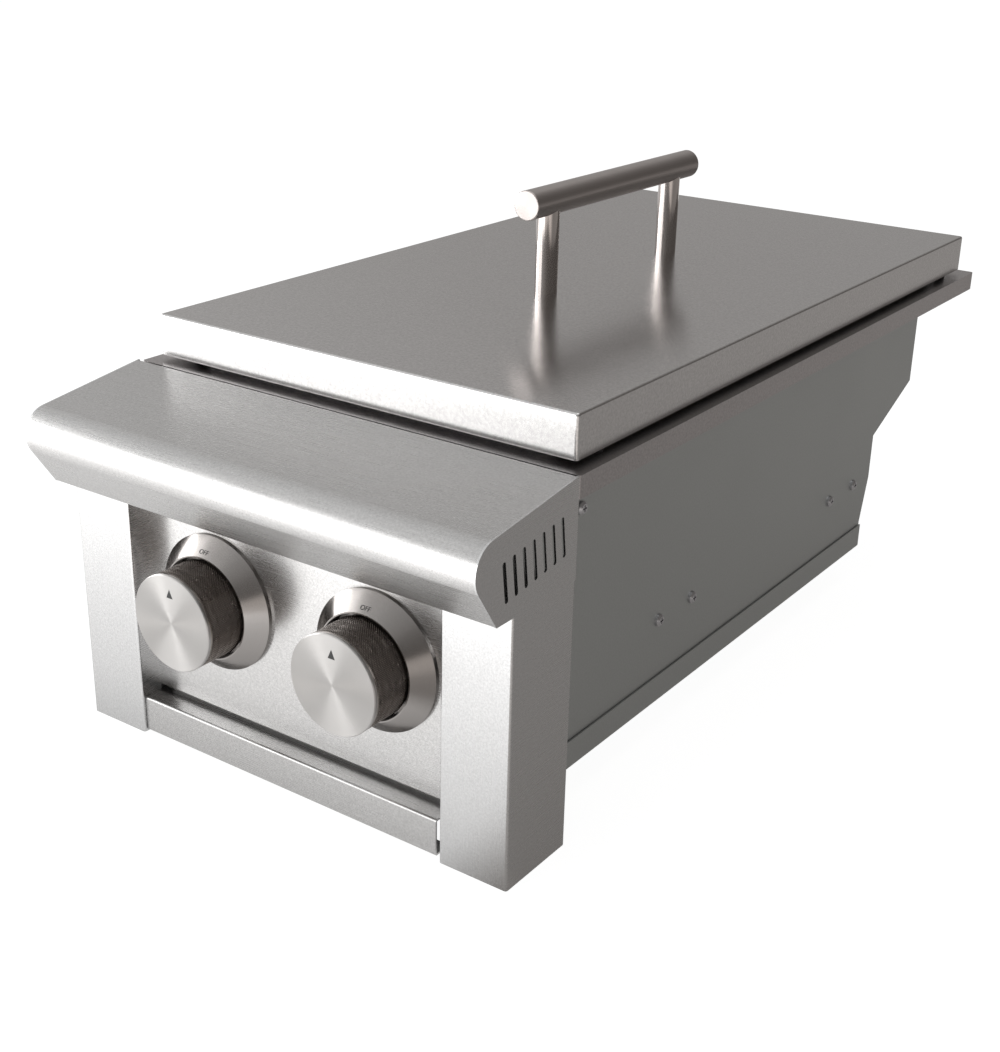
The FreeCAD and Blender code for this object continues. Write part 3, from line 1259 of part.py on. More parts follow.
def knob(side, x):
    """A knob: skirt with its hub, face cap, and the pointer laid into the cap."""
    skirt_depth = s.knob_depth - s.knob_cap
    inner = s.knob_radius - s.knob_wall
    bore = s.stem_radius + s.running_gap
    hub_foot = s.knob_wall
    web = skirt_depth - s.knob_wall
    blind = s.knob_depth - s.stem_tip + s.running_gap
    rear = face - s.knob_reach + s.knob_depth
    keep(turned(f"{side}_knob_skirt", [
        (bore, hub_foot), (s.knob_hub, hub_foot), (s.knob_hub, web), (inner, web), (inner, 0),
        (s.knob_radius, 0), (s.knob_radius, skirt_depth), (0, skirt_depth), (0, blind),
        (bore, blind),
    ], x, rear, s.knob_height, "front"))

    cap = turned(f"{side}_knob_cap", [
        (0, 0), (s.knob_radius, 0), (s.knob_radius, s.knob_cap - s.knob_bevel),
        (s.knob_radius - s.knob_bevel, s.knob_cap), (0, s.knob_cap),
    ], x, rear - skirt_depth, s.knob_height, "front")
    base = s.pointer_offset - s.pointer_height / 2
    half = s.pointer_width / 2
    triangle = [(-half, base), (half, base), (0, base + s.pointer_height)]
    recess = body_sketch(cap, f"{side}_pointer_recess", "XY", s.knob_cap)
    draw_path(recess, triangle)
    pocket(cap, f"{side}_pointer_cut", recess, s.pointer_inlay, along_normal=False)
    keep(cap)

    pointer = new_body(f"{side}_knob_pointer")
    shape = body_sketch(pointer, f"{side}_pointer_shape", "XY")
    draw_path(shape, triangle)
    pad(pointer, f"{side}_pointer_pad", shape, s.pointer_inlay)
    pointer.Placement = FreeCAD.Placement(V(), FreeCAD.Rotation(V(1, 0, 0), QUARTER_TURN))
    place(pointer, x, face - s.knob_reach + s.pointer_inlay, s.knob_height)
    keep(pointer)


def check_and_export():
    """Refuse a failed or empty shape, then write every sub-part to its own file."""
    doc.recompute()
    for item in doc.Objects:
        if "Invalid" in item.State or "Error" in item.State:
            raise RuntimeError(f"{item.Name} failed: {item.State}")
    for piece in parts:
        shape = piece.Shape
        if shape.isNull() or not shape.isValid() or not shape.Solids:
            raise RuntimeError(f"{piece.Label} has no valid solid")
    os.makedirs("parts", exist_ok=True)
    for piece in parts:
        piece.Shape.exportStep(f"parts/{piece.Label}.step")
    print(f"wrote {len(parts)} sub-parts")


lid_pieces()
hob_pieces()
half_grate_gap = s.rod_radius + s.seat_gap * 2
grate("front", basin_front - s.grate_end_lap, basin_middle - half_grate_gap)
grate("rear", basin_middle + half_grate_gap, basin_rear + s.grate_end_lap)
for label in burners:
    burner(label, burners[label])
    burner_bracket(label, burners[label])
venturi_tube("front", "right", burners["front"])
venturi_tube("rear", "left", burners["rear"])
bezel_screw = screw_kind("bezel_screw", s.bezel_screw_radius, s.bezel_screw_length, s.bezel_screw_head)
bezel_screws = []
for side, sign in sides.items():
    air_shutter(side, knob_places[side])
    valve(side, knob_places[side])
    bezel_screws += bezel(side, knob_places[side], bezel_screw)
    knob(side, knob_places[side])
    pillar(side, sign)
keep(fuse("bezel_screws", *bezel_screws))
manifold_pieces()
box_pieces()
visor()
control_panel()
lower_rail()
check_and_export()
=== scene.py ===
# %% [markdown]
# # A built in side burner, dressed for its picture
#
# The solid model of the burner is already exact. This script loads it and gives every piece the finish
# that it has on the real object: brushed sheet, spun caps, knurled skirts and black ink.
# All lengths are in metres, +Z is up, and the knobs face -Y.

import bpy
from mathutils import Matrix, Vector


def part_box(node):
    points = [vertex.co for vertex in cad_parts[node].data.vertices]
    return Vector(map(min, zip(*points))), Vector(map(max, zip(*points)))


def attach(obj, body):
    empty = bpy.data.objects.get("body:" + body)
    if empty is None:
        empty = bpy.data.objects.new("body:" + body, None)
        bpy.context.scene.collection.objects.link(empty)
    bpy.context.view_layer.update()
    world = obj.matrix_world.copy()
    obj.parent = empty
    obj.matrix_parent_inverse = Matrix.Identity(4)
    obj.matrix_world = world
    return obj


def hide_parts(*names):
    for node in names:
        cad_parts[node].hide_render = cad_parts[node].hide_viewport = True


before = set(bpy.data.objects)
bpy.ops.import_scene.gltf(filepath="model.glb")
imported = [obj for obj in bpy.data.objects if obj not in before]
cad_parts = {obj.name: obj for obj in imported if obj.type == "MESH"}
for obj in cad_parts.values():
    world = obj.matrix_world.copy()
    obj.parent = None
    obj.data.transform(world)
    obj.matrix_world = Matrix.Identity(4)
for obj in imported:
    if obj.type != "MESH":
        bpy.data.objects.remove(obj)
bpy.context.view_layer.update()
print("pieces in the model:", len(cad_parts))

# %% [markdown]
# ## Modules and short names
#
# bpy is Blender itself, bmesh builds meshes point by point, and mathutils brings vectors and matrices.
# Whatever this script adds is built in code and not with menu commands, which act on what is selected.

# %% Modules and short names
import math

import bmesh
import bpy
from mathutils import Matrix, Vector

MM = 0.001
scene = bpy.context.scene
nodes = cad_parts

# %% [markdown]
# ## The camera
#
# The photograph was taken from the right, a little above the hob. The camera's place and lens were worked
# out from the straight edges of the object, so they are written here as plain numbers.
# A camera looks along its own -Z, so its rotation is built from three directions: right, up and back.

# %% Place the camera
CAMERA_PLACE = (0.54968, -0.86784, 0.50114)
CAMERA_AZIMUTH = math.radians(34.87)
CAMERA_ELEVATION = math.radians(22.77)
CAMERA_ROLL = math.radians(1.30)
PICTURE_HEIGHT = 1052
FOCAL_PIXELS = 1570.5
SENSOR = 36
NEAREST = 0.05


def place_camera():
    """Set the camera where the photographer stood."""
    data = bpy.data.cameras.new("photo_camera")
    data.sensor_width = SENSOR
    data.lens = FOCAL_PIXELS * SENSOR / PICTURE_HEIGHT
    data.clip_start = NEAREST
    camera = bpy.data.objects.new("photo_camera", data)
    scene.collection.objects.link(camera)
    flat = math.cos(CAMERA_ELEVATION)
    back = Vector((math.sin(CAMERA_AZIMUTH) * flat, -math.cos(CAMERA_AZIMUTH) * flat,
                   math.sin(CAMERA_ELEVATION)))
    level_right = Vector((0, 0, 1)).cross(back).normalized()
    level_up = back.cross(level_right)
    right = level_right * math.cos(CAMERA_ROLL) + level_up * math.sin(CAMERA_ROLL)
    up = level_up * math.cos(CAMERA_ROLL) - level_right * math.sin(CAMERA_ROLL)
    turn = Matrix((right, up, back)).transposed()
    camera.matrix_world = Matrix.Translation(CAMERA_PLACE) @ turn.to_4x4()
    scene.camera = camera
    return camera


camera = place_camera()
print("lens in millimetres:", round(camera.data.lens, 2))

# %% [markdown]
# ## Helpers for node networks
#
# A material in Blender is a small network: textures on the left, the shader on the right.
# These helpers make one node and link it in one line, which keeps each finish short to read.
# The Mix node carries sockets for numbers, vectors and colours side by side, and only the ones of its own
# kind count, so a small table says which three belong to each kind.

# %% A small kit for node networks
MIX_SOCKETS = {"FLOAT": (2, 3, 0), "VECTOR": (4, 5, 1), "RGBA": (6, 7, 2)}


class Network:
    """The nodes of a material or of the world."""

    def __init__(self, owner):
        owner.use_nodes = True
        self.tree = owner.node_tree

    def add(self, kind, inputs=None, **settings):
        """Make a node; an input may be a number or the output of another node."""
        node = self.tree.nodes.new(kind)
        for name, value in settings.items():
            setattr(node, name, value)
        for name, value in (inputs or {}).items():
            if isinstance(value, bpy.types.NodeSocket):
                self.tree.links.new(value, node.inputs[name])
            else:
                node.inputs[name].default_value = value
        return node

    def math(self, operation, first, second=0):
        """One sum of two values; some kinds only use the first."""
        return self.add("ShaderNodeMath", {0: first, 1: second}, operation=operation).outputs[0]

    def vector(self, operation, first, second=(0, 0, 0), result="Vector"):
        """One sum of two vectors; some kinds only use the first."""
        return self.add("ShaderNodeVectorMath", {0: first, 1: second},
                        operation=operation).outputs[result]

    def mix(self, share, first, second, kind="FLOAT"):
        """Go from the first value to the second as the share goes from 0 to 1."""
        low, high, result = MIX_SOCKETS[kind]
        return self.add("ShaderNodeMix", {0: share, low: first, high: second},
                        data_type=kind).outputs[result]

    def spread(self, value, low, high, start=0, end=1):
        """Stretch a value from one range to another."""
        return self.add("ShaderNodeMapRange", {"Value": value, "From Min": start, "From Max": end,
                                               "To Min": low, "To Max": high}).outputs["Result"]

    def noise(self, place, scale, detail=2):
        """Soft noise from 0 to 1."""
        return self.add("ShaderNodeTexNoise",
                        {"Vector": place, "Scale": scale, "Detail": detail}).outputs["Fac"]

    def where(self, kind="Object"):
        """The coordinates of the point that is shaded."""
        return self.add("ShaderNodeTexCoord").outputs[kind]


print("kinds of mixing:", sorted(MIX_SOCKETS))

# %% [markdown]
# ## Helpers for finishes
#
# Every finish ends in Blender's main shader, the Principled BSDF. Its colour, roughness and surface are
# linked to noise, because the grain of a metal is finer than a modeller could cut.
# What is the same all over, such as how metallic a finish is, is written on the shader as a number.

# %% A network that ends in the main shader
class Finish(Network):
    """A material with Blender's main shader."""

    def __init__(self, name):
        self.material = bpy.data.materials.new(name)
        super().__init__(self.material)
        self.shader = self.tree.nodes["Principled BSDF"]

    def surface(self, name, source):
        """Link an output to a socket of the shader."""
        self.tree.links.new(source, self.shader.inputs[name])

    def shaded(self, tone, shade):
        """Link the base colour: a tone, made lighter and darker by a value."""
        colour = self.add("ShaderNodeVectorMath", {0: tone, "Scale": shade}, operation="SCALE")
        self.surface("Base Color", colour.outputs[0])

    def around(self, value, middle, swing):
        """Let a value from 0 to 1 move a number by a swing to both sides of its middle."""
        return self.spread(value, middle - swing, middle + swing)

    def bump(self, height, strength, distance, normal=None):
        """Raise and lower the surface by a value."""
        node = self.add("ShaderNodeBump", {"Height": height, "Strength": strength,
                                           "Distance": distance})
        if normal:
            self.tree.links.new(normal, node.inputs["Normal"])
        self.surface("Normal", node.outputs[0])

    def constant(self, **values):
        """Write plain numbers on the shader's own sockets."""
        for name, value in values.items():
            self.shader.inputs[name.replace("_", " ").title()].default_value = value


print("finish kit ready")

# %% [markdown]
# ## Scratches that follow the folds
#
# The visor, the lid and the pillars are made from sheet that was brushed flat and then folded.
# The scratches are hair-thin, centimetres long and all parallel. When the sheet is folded, they fold too.
# So the noise is read in coordinates that follow the fold: which two directions lie in the face is
# decided by the way the face points, and the noise is stretched along one of them.

# %% Coordinates that follow the folds
AXES = {"X": (1, 0, 0), "Y": (0, 1, 0), "Z": (0, 0, 1)}
ACROSS = {"X": "Y", "Y": "X"}
POINTS_THAT_WAY = 0.7


def follow_folds(finish, along):
    """Where a point lies, as (across the scratches, along them, 0), and the way across them."""
    axes = finish.add("ShaderNodeSeparateXYZ", {"Vector": finish.where()}).outputs
    normal = finish.where("Normal")
    facing = finish.add("ShaderNodeSeparateXYZ", {"Vector": normal}).outputs

    def points_along(axis):
        size = finish.math("ABSOLUTE", facing[axis])
        return finish.math("GREATER_THAN", size, POINTS_THAT_WAY)

    end_face = points_along(along)
    side_face = points_along(ACROSS[along])
    run = finish.mix(end_face, axes[along], axes["Z"])
    across = finish.mix(side_face, axes[ACROSS[along]], axes["Z"])
    place = finish.add("ShaderNodeCombineXYZ", {"X": across, "Y": run})
    course = finish.mix(end_face, AXES[along], AXES["Z"], "VECTOR")
    return place.outputs[0], finish.vector("CROSS_PRODUCT", normal, course)


print("scratches may run along:", sorted(ACROSS))

# %% [markdown]
# ## Brushed stainless sheet
#
# Three noises make the sheet: the scratches, the fine grain between them and the faint clouds, a hand wide,
# that every large sheet shows. The scratches change the roughness, the colour and the bump together, as
# real ones do. The lid, the panel and the pillars come from different sheets, so each has its own grey.

# %% The sheet finishes
CLOUDS_PER_METRE = 9
CLOUD_SWING = 0.04
SCRATCH_SWING = 0.05
SCRATCH_HEIGHT = 0.05 * MM
GRAIN_OVER_SCRATCHES = 5


def brushed(name, tone, roughness, along="X", scratch=1700, length=25, depth=0.15, speckle=0.07,
            stretch=0.5, fineness=800):
    """Brushed stainless sheet; tone is its grey, along is the direction of the scratches."""
    finish = Finish(name)
    place, across = follow_folds(finish, along)
    scratches = finish.noise(finish.vector("MULTIPLY", place, (scratch, length, 1)), scale=1, detail=3)
    clouds = finish.noise(finish.where(), CLOUDS_PER_METRE)
    grain = finish.noise(finish.where(), fineness)
    finish.shaded(tone, finish.math("MULTIPLY", finish.around(scratches, 1, speckle),
                                    finish.around(grain, 1, speckle * GRAIN_OVER_SCRATCHES)))
    finish.surface("Roughness", finish.math("ADD", finish.around(scratches, 0, SCRATCH_SWING),
                                            finish.around(clouds, roughness, CLOUD_SWING)))
    finish.bump(scratches, depth, SCRATCH_HEIGHT)
    finish.surface("Tangent", across)
    finish.constant(metallic=1.0, anisotropic=stretch)
    return finish.material


lid_sheet = brushed("lid_brushed", (0.62, 0.612, 0.608), 0.19, along="Y", depth=0.06, speckle=0.05,
                    stretch=0.7, fineness=650)
fascia_sheet = brushed("fascia_brushed", (0.51, 0.505, 0.50), 0.28, along="X", depth=0.1, speckle=0.05)
panel_sheet = brushed("panel_brushed", (0.58, 0.575, 0.57), 0.26, along="X", depth=0.1, speckle=0.04)
pillar_sheet = brushed("pillar_brushed", (0.60, 0.60, 0.60), 0.27, along="Y", speckle=0.035)
hob_sheet = brushed("hob_brushed", (0.46, 0.44, 0.44), 0.32, along="Y")
box_sheet = brushed("box_mill_finish", (0.51, 0.53, 0.525), 0.45, along="Y", depth=0.05, speckle=0.02)
print("sheet finishes:", lid_sheet.name, fascia_sheet.name, hob_sheet.name)

# %% [markdown]
# ## Turned bar, spun caps and bezels
#
# A bar is brushed while it turns, and a cap or bezel is spun on a lathe, so their scratches are circles.
# Circular scratches spread a highlight into a bow tie of light across the face. Blender's shader does
# this with its anisotropy, once it is told by a tangent node which way the circles run.
# The cone of a bezel is polished a little round, which only shows in what it mirrors. So its shading
# leans towards the axis and its shape is left alone.

# %% A spun finish with circular scratches
MIDDLE = (0.5, 0.5, 0.5)
NO_LEAN = (0, 0, 0)
TURNED_CLOUDS_PER_METRE = 60
RING_SWING = 0.1
RING_HEIGHT = 0.03 * MM
QUARTER = 0.25


def spun(name, tone, roughness, axis, anisotropy, rings=260, depth=0.1, lean=NO_LEAN):
    """Metal finished on a lathe that turned about an axis; lean is how far its faces are rounded."""
    finish = Finish(name)
    centred = finish.vector("SUBTRACT", finish.where("Generated"), MIDDLE)
    flat = tuple(1 - share for share in AXES[axis])
    in_plane = finish.vector("MULTIPLY", centred, flat)
    radius = finish.vector("LENGTH", in_plane, result="Value")
    circles = finish.add("ShaderNodeTexNoise", {"W": radius, "Scale": rings, "Detail": 3},
                         noise_dimensions="1D").outputs["Fac"]
    clouds = finish.noise(finish.where(), TURNED_CLOUDS_PER_METRE)
    finish.shaded(tone, finish.around(circles, 1, RING_SWING))
    finish.surface("Roughness", finish.around(clouds, roughness, CLOUD_SWING))
    facing = finish.add("ShaderNodeNewGeometry").outputs["Normal"]
    rounded = finish.vector("NORMALIZE", finish.vector("ADD", facing, lean))
    finish.bump(circles, depth, RING_HEIGHT, rounded)
    tangent = finish.add("ShaderNodeTangent", direction_type="RADIAL", axis=axis)
    finish.surface("Tangent", tangent.outputs[0])
    finish.constant(metallic=1.0, anisotropic=anisotropy, anisotropic_rotation=QUARTER)
    return finish.material


cap_face = spun("knob_cap_spun", (0.42, 0.41, 0.40), 0.42, axis="Y", anisotropy=0.95)
bezel_face = spun("bezel_spun", (0.28, 0.265, 0.255), 0.2, axis="Y", anisotropy=0.6, lean=(0, -0.3, 0))
bar_finish = spun("handle_bar_turned", (0.46, 0.425, 0.41), 0.38, axis="Y", anisotropy=0.4)
post_finish = spun("handle_post_turned", (0.52, 0.48, 0.46), 0.12, axis="Z", anisotropy=0.4)
print("turned finishes:", cap_face.name, bezel_face.name, bar_finish.name)

# %% [markdown]
# ## Plain finishes of the small and hidden pieces
#
# Behind the panel and under the lid are cast, galvanised, ceramic and rubber pieces.
# None of them is one flat colour: cast metal is grainy, zinc has a cloudy bloom, rubber has dust on it.
# One recipe makes all of them, with its own size of grain and its own depth for each.

# %% Cast, plated, glazed and moulded finishes
PLAIN_DETAIL = 4
PLAIN_SWING = 0.06
PLAIN_HEIGHT = 0.2 * MM


def plain(name, tone, roughness, metallic, grain, variation, depth, coat=0.0):
    """An even finish with a grain in its colour, roughness and surface."""
    finish = Finish(name)
    noise = finish.noise(finish.where(), grain, PLAIN_DETAIL)
    finish.shaded(tone, finish.around(noise, 1, variation))
    finish.surface("Roughness", finish.around(noise, roughness, PLAIN_SWING))
    finish.bump(noise, depth, PLAIN_HEIGHT)
    finish.constant(metallic=metallic, coat_weight=coat)
    return finish.material


cast_aluminium = plain("cast_aluminium", (0.55, 0.55, 0.55), roughness=0.5, metallic=1.0,
                       grain=700, variation=0.1, depth=0.4)
black_enamel = plain("cap_black_enamel", (0.02, 0.02, 0.021), roughness=0.35, metallic=0.0,
                     grain=900, variation=0.2, depth=0.2, coat=0.3)
zinc = plain("bright_zinc", (0.6, 0.6, 0.62), roughness=0.3, metallic=1.0,
             grain=500, variation=0.08, depth=0.05)
tube_metal = plain("tube_metal", (0.58, 0.58, 0.59), roughness=0.38, metallic=1.0,
                   grain=200, variation=0.06, depth=0.05)
brass = plain("machined_brass", (0.62, 0.43, 0.17), roughness=0.3, metallic=1.0,
              grain=300, variation=0.08, depth=0.05)
dark_pipe = plain("dark_pipe", (0.06, 0.06, 0.06), roughness=0.5, metallic=0.6,
                  grain=400, variation=0.15, depth=0.2)
ceramic = plain("glazed_ceramic", (0.85, 0.83, 0.78), roughness=0.2, metallic=0.0,
                grain=250, variation=0.03, depth=0.03, coat=0.5)
rubber = plain("black_rubber", (0.02, 0.02, 0.02), roughness=0.7, metallic=0.0,
               grain=800, variation=0.3, depth=0.2)
ink = plain("black_ink", (0.008, 0.008, 0.008), roughness=0.5, metallic=0.0,
            grain=900, variation=0.3, depth=0.05)
rod_metal = plain("grate_rod", (0.55, 0.54, 0.53), roughness=0.32, metallic=1.0,
                  grain=250, variation=0.08, depth=0.08)
print("plain finishes:", cast_aluminium.name, black_enamel.name, zinc.name, brass.name)

# %% [markdown]
# ## Giving every solid its finish
#
# Each solid of the model already has the right shape, so it only needs its material.
# The finishes are handed out by the piece's job, and a check at the end of the script names any piece
# that was forgotten.

# %% Hand out the finishes
FINISHES = {
    "lid_shell": lid_sheet, "lid_handle_bar": bar_finish, "lid_post_front": post_finish,
    "lid_post_rear": post_finish, "lid_handle_screws": zinc, "lid_bumpers": rubber,
    "hob_frame": hob_sheet, "burner_basin": hob_sheet, "visor": fascia_sheet,
    "control_panel": panel_sheet, "lower_rail": fascia_sheet, "rear_panel": box_sheet,
    "bottom_pan": box_sheet, "heat_shield": box_sheet, "manifold_pipe": dark_pipe,
    "gas_inlet_elbow": brass, "side_screws": zinc, "bezel_screws": zinc,
}
for end in ("front", "rear"):
    FINISHES.update({
        f"{end}_grate": rod_metal, f"{end}_burner_cup": cast_aluminium,
        f"{end}_burner_head": cast_aluminium, f"{end}_burner_cap": black_enamel,
        f"{end}_electrode": ceramic, f"{end}_spark_tip": zinc,
        f"{end}_venturi_tube": tube_metal, f"{end}_burner_bracket": box_sheet,
    })
for side in ("left", "right"):
    FINISHES.update({
        f"{side}_pillar": pillar_sheet, f"{side}_side_panel": box_sheet, f"{side}_bezel": bezel_face,
        f"{side}_knob_cap": cap_face, f"{side}_knob_pointer": ink, f"{side}_valve_body": cast_aluminium,
        f"{side}_valve_plug": brass, f"{side}_valve_stem": brass, f"{side}_valve_spring": zinc,
        f"{side}_orifice": brass, f"{side}_air_shutter": tube_metal,
    })


def dress(piece, material):
    """Give a piece one material all over."""
    piece.data.materials.clear()
    piece.data.materials.append(material)


for name, material in FINISHES.items():
    dress(nodes[name], material)
print("solids with a finish:", len(FINISHES))

# %% [markdown]
# ## The knurl of the skirts
#
# The grip of a knob is a dark ring with a fine diamond knurl, rolled in by a wheel.
# It is far too fine for the solid model, but it decides how the knob catches light, so the skirt is built
# here as a turned surface whose outer wall is pushed in and out.
# Two sets of grooves cross, one climbing to the left and one to the right, and where they meet
# they leave small pyramids. A plain edge is left at both ends, as the rolling wheel leaves it.

# %% The depth of the knurl at each point
KNURL_TEETH = 128
KNURL_DEPTH = 0.35 * MM
STEPS_PER_TOOTH = 6
STEPS_ROUND = KNURL_TEETH * STEPS_PER_TOOTH
PLAIN_EDGE = 1.1 * MM
KNURL_FADE = 0.6 * MM


def knurl_height(turn, along, pitch):
    """How far the knurl stands out, from 0 to 1, where two sets of grooves cross."""
    rising = abs(((turn + along / pitch) % 1) * 2 - 1)
    falling = abs(((turn - along / pitch) % 1) * 2 - 1)
    return min(rising, falling)


def knurl_cut(step, from_front, from_back, pitch):
    """How deep the wall is cut at a step round the skirt, that far from its two ends."""
    inside = min(from_front, from_back)
    if inside < PLAIN_EDGE:
        return 0
    fade = min(1, (inside - PLAIN_EDGE) / KNURL_FADE)
    height = knurl_height(step / STEPS_PER_TOOTH, from_front, pitch)
    return KNURL_DEPTH * (1 - height) * fade


print("steps round a skirt:", STEPS_ROUND)

# %% [markdown]
# ## The skirts themselves
#
# A turned piece is a pile of rings. The outer wall takes one ring per row of the knurl, the hollow behind
# the cap takes two plain rings, and each ring is joined to the next with four-sided faces. The size comes
# from the plain skirt of the model, whose place the knurled one takes.

# %% Build a knurled skirt in place of a plain one
SKIRT_WALL = 2.4 * MM
LEAST_ROWS = 8
ROW_STRETCH = 1.6


def add_piece(name, mesh):
    """Turn a finished bmesh into an object of the scene."""
    data = bpy.data.meshes.new(name)
    mesh.to_mesh(data)
    mesh.free()
    piece = bpy.data.objects.new(name, data)
    scene.collection.objects.link(piece)
    return piece


def knurled_skirt(side):
    """A skirt with a knurled wall, in the place of the plain skirt of the model."""
    plain_skirt = f"{side}_knob_skirt"
    low, high = (Vector(corner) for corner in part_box(plain_skirt))
    centre = (low + high) / 2
    radius = (high.x - low.x) / 2
    pitch = 2 * math.pi * radius / KNURL_TEETH
    rows = max(LEAST_ROWS, int((high.y - low.y) / (pitch / STEPS_PER_TOOTH * ROW_STRETCH)))
    mesh = bmesh.new()

    def ring(y, radius_at):
        made = []
        for step in range(STEPS_ROUND):
            angle = 2 * math.pi * step / STEPS_ROUND
            size = radius_at(step)
            made.append(mesh.verts.new((centre.x + size * math.cos(angle), y,
                                        centre.z + size * math.sin(angle))))
        return made

    def knurled_ring(y):
        return ring(y, lambda step: radius - knurl_cut(step, y - low.y, high.y - y, pitch))

    def inner_ring(y):
        return ring(y, lambda step: radius - SKIRT_WALL)

    rings = [knurled_ring(low.y + (high.y - low.y) * row / rows) for row in range(rows + 1)]
    rings += [inner_ring(high.y), inner_ring(low.y + SKIRT_WALL)]
    for first, second in zip(rings, rings[1:]):
        for step in range(STEPS_ROUND):
            after = (step + 1) % STEPS_ROUND
            mesh.faces.new((first[step], first[after], second[after], second[step]))
    mesh.faces.new(rings[-1])
    mesh.faces.new(rings[0])
    bmesh.ops.recalc_face_normals(mesh, faces=mesh.faces)
    return add_piece(f"{side}_knurled_skirt", mesh)


skirts = {side: knurled_skirt(side) for side in ("left", "right")}
print("faces of a skirt:", len(skirts["left"].data.polygons))

# %% [markdown]
# ## Painted shade and painted highlights for the knurl
#
# The skirts look almost black in the shade and warm brown where they face the light. The knurl is bright
# steel, so its dark warm brown colour is painted shade and painted reflection. Its tips are painted
# brighter, a painted highlight.
# Pointiness finds those tips without any drawing: it is about a half on flat ground and more on a tip.

# %% The knurl's painted shade and painted highlights
# Painted colours: painted shade for the whole knurl and a painted highlight for its tips.
KNURL_PAINTED_SHADE = (0.10, 0.082, 0.072, 1)
KNURL_PAINTED_HIGHLIGHT = (0.62, 0.57, 0.53, 1)
HIGHLIGHT_STARTS = 0.49
HIGHLIGHT_ENDS = 0.56
SMUDGES_PER_METRE = 200
SMOOTH_KNURL = 0.2
DULL_KNURL = 0.32


def painted_shade_knurl():
    """Painted shade on the knurl, with a painted highlight on its raised points."""
    finish = Finish("skirt_dark_plating")
    points = finish.add("ShaderNodeNewGeometry").outputs["Pointiness"]
    lit_tips = finish.spread(points, 0, 1, HIGHLIGHT_STARTS, HIGHLIGHT_ENDS)
    # The base colour is painted light: dark painted shade, and painted highlights on the tips.
    finish.surface("Base Color", finish.mix(lit_tips, KNURL_PAINTED_SHADE, KNURL_PAINTED_HIGHLIGHT, "RGBA"))
    smudges = finish.noise(finish.where(), SMUDGES_PER_METRE, detail=3)
    finish.surface("Roughness", finish.spread(smudges, SMOOTH_KNURL, DULL_KNURL))
    finish.constant(metallic=1.0)
    return finish.material


knurl_paint = painted_shade_knurl()
for side, skirt in skirts.items():
    dress(skirt, knurl_paint)
    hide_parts(f"{side}_knob_skirt")
    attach(skirt, f"{side}_knob")
    print(skirt.name, "takes the place of", f"{side}_knob_skirt")

# %% [markdown]
# ## The OFF marks
#
# Each bezel has a small OFF above its knob, printed on the cone. Blender's text object draws it.
# The letters are laid on the slope: they are turned until their face looks the way the cone faces.

# %% Print OFF on both bezels
MARK_SIZE = 4.0 * MM
MARK_RADIUS = 34.6 * MM
MARK_LIFT = 0.06 * MM
MARK_THICKNESS = 0.02 * MM
BEZEL_BORE = 31.4 * MM
BEZEL_LIP = 0.8 * MM
BEZEL_EDGE = 2.6 * MM
TO_THE_RIGHT = Vector((1, 0, 0))


def mark_text(name):
    """The letters OFF, as thin as ink."""
    text = bpy.data.curves.new(name, "FONT")
    text.body = "OFF"
    text.size = MARK_SIZE
    text.align_x = "CENTER"
    text.align_y = "CENTER"
    text.extrude = MARK_THICKNESS
    mark = bpy.data.objects.new(name, text)
    scene.collection.objects.link(mark)
    return mark


def off_mark(side):
    """The printed mark on the upper slope of a bezel."""
    low, high = (Vector(corner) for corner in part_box(f"{side}_bezel"))
    centre = (low + high) / 2
    outer = (high.x - low.x) / 2
    inner = BEZEL_BORE + BEZEL_LIP
    rise = high.y - low.y - BEZEL_EDGE
    share = (outer - MARK_RADIUS) / (outer - inner)
    slope = Vector((0, rise, outer - inner)).normalized()
    facing = TO_THE_RIGHT.cross(slope)
    turn = Matrix((TO_THE_RIGHT, slope, facing)).transposed()
    place = Vector((centre.x, high.y - BEZEL_EDGE - rise * share, centre.z + MARK_RADIUS))
    mark = mark_text(f"{side}_off_mark")
    mark.matrix_world = Matrix.Translation(place + facing * MARK_LIFT) @ turn.to_4x4()
    return mark


for side in ("left", "right"):
    mark = off_mark(side)
    dress(mark, ink)
    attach(mark, "burner_box")
    print(mark.name, "stands at", tuple(round(value, 4) for value in mark.location))

# %% [markdown]
# ## Black rubber blocks, painted shade in the lower corners
#
# Behind the inner wall of each pillar, between the panel's lower edge and the rail, a small corner stays
# open, and the floor would shine through it. A soft black block under the panel closes it, and its black
# is painted shade for that dark corner. It could be modelled as a moulded shape, but only one flat face of
# it shows, so a bevelled cube is enough. Its place follows from the panel and from the pillar's wall.

# %% Close the lower corners
BLOCK_WIDTH = 7 * MM
BLOCK_HEIGHT = 8 * MM
BLOCK_GAP = 0.1 * MM
BLOCK_EDGE = 0.6 * MM


def corner_shade_block(side, outwards):
    """A black rubber block behind a pillar's inner wall, painted shade for its corner; outwards is the sign
    of x on that side.
    """
    panel_low, panel_high = (Vector(corner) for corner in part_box("control_panel"))
    wall = min(abs(corner[0]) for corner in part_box(f"{side}_pillar"))
    size = Vector((BLOCK_WIDTH, panel_high.y - panel_low.y - 2 * BLOCK_GAP, BLOCK_HEIGHT))
    place = Vector((outwards * (wall + BLOCK_GAP + size.x / 2), (panel_low.y + panel_high.y) / 2,
                    panel_low.z - BLOCK_GAP - size.z / 2))
    mesh = bmesh.new()
    bmesh.ops.create_cube(mesh, size=1, matrix=Matrix.Translation(place) @ Matrix.Diagonal(size.to_4d()))
    bmesh.ops.bevel(mesh, geom=mesh.edges[:], offset=BLOCK_EDGE, segments=2, affect="EDGES")
    return add_piece(f"{side}_corner_shade_block", mesh)


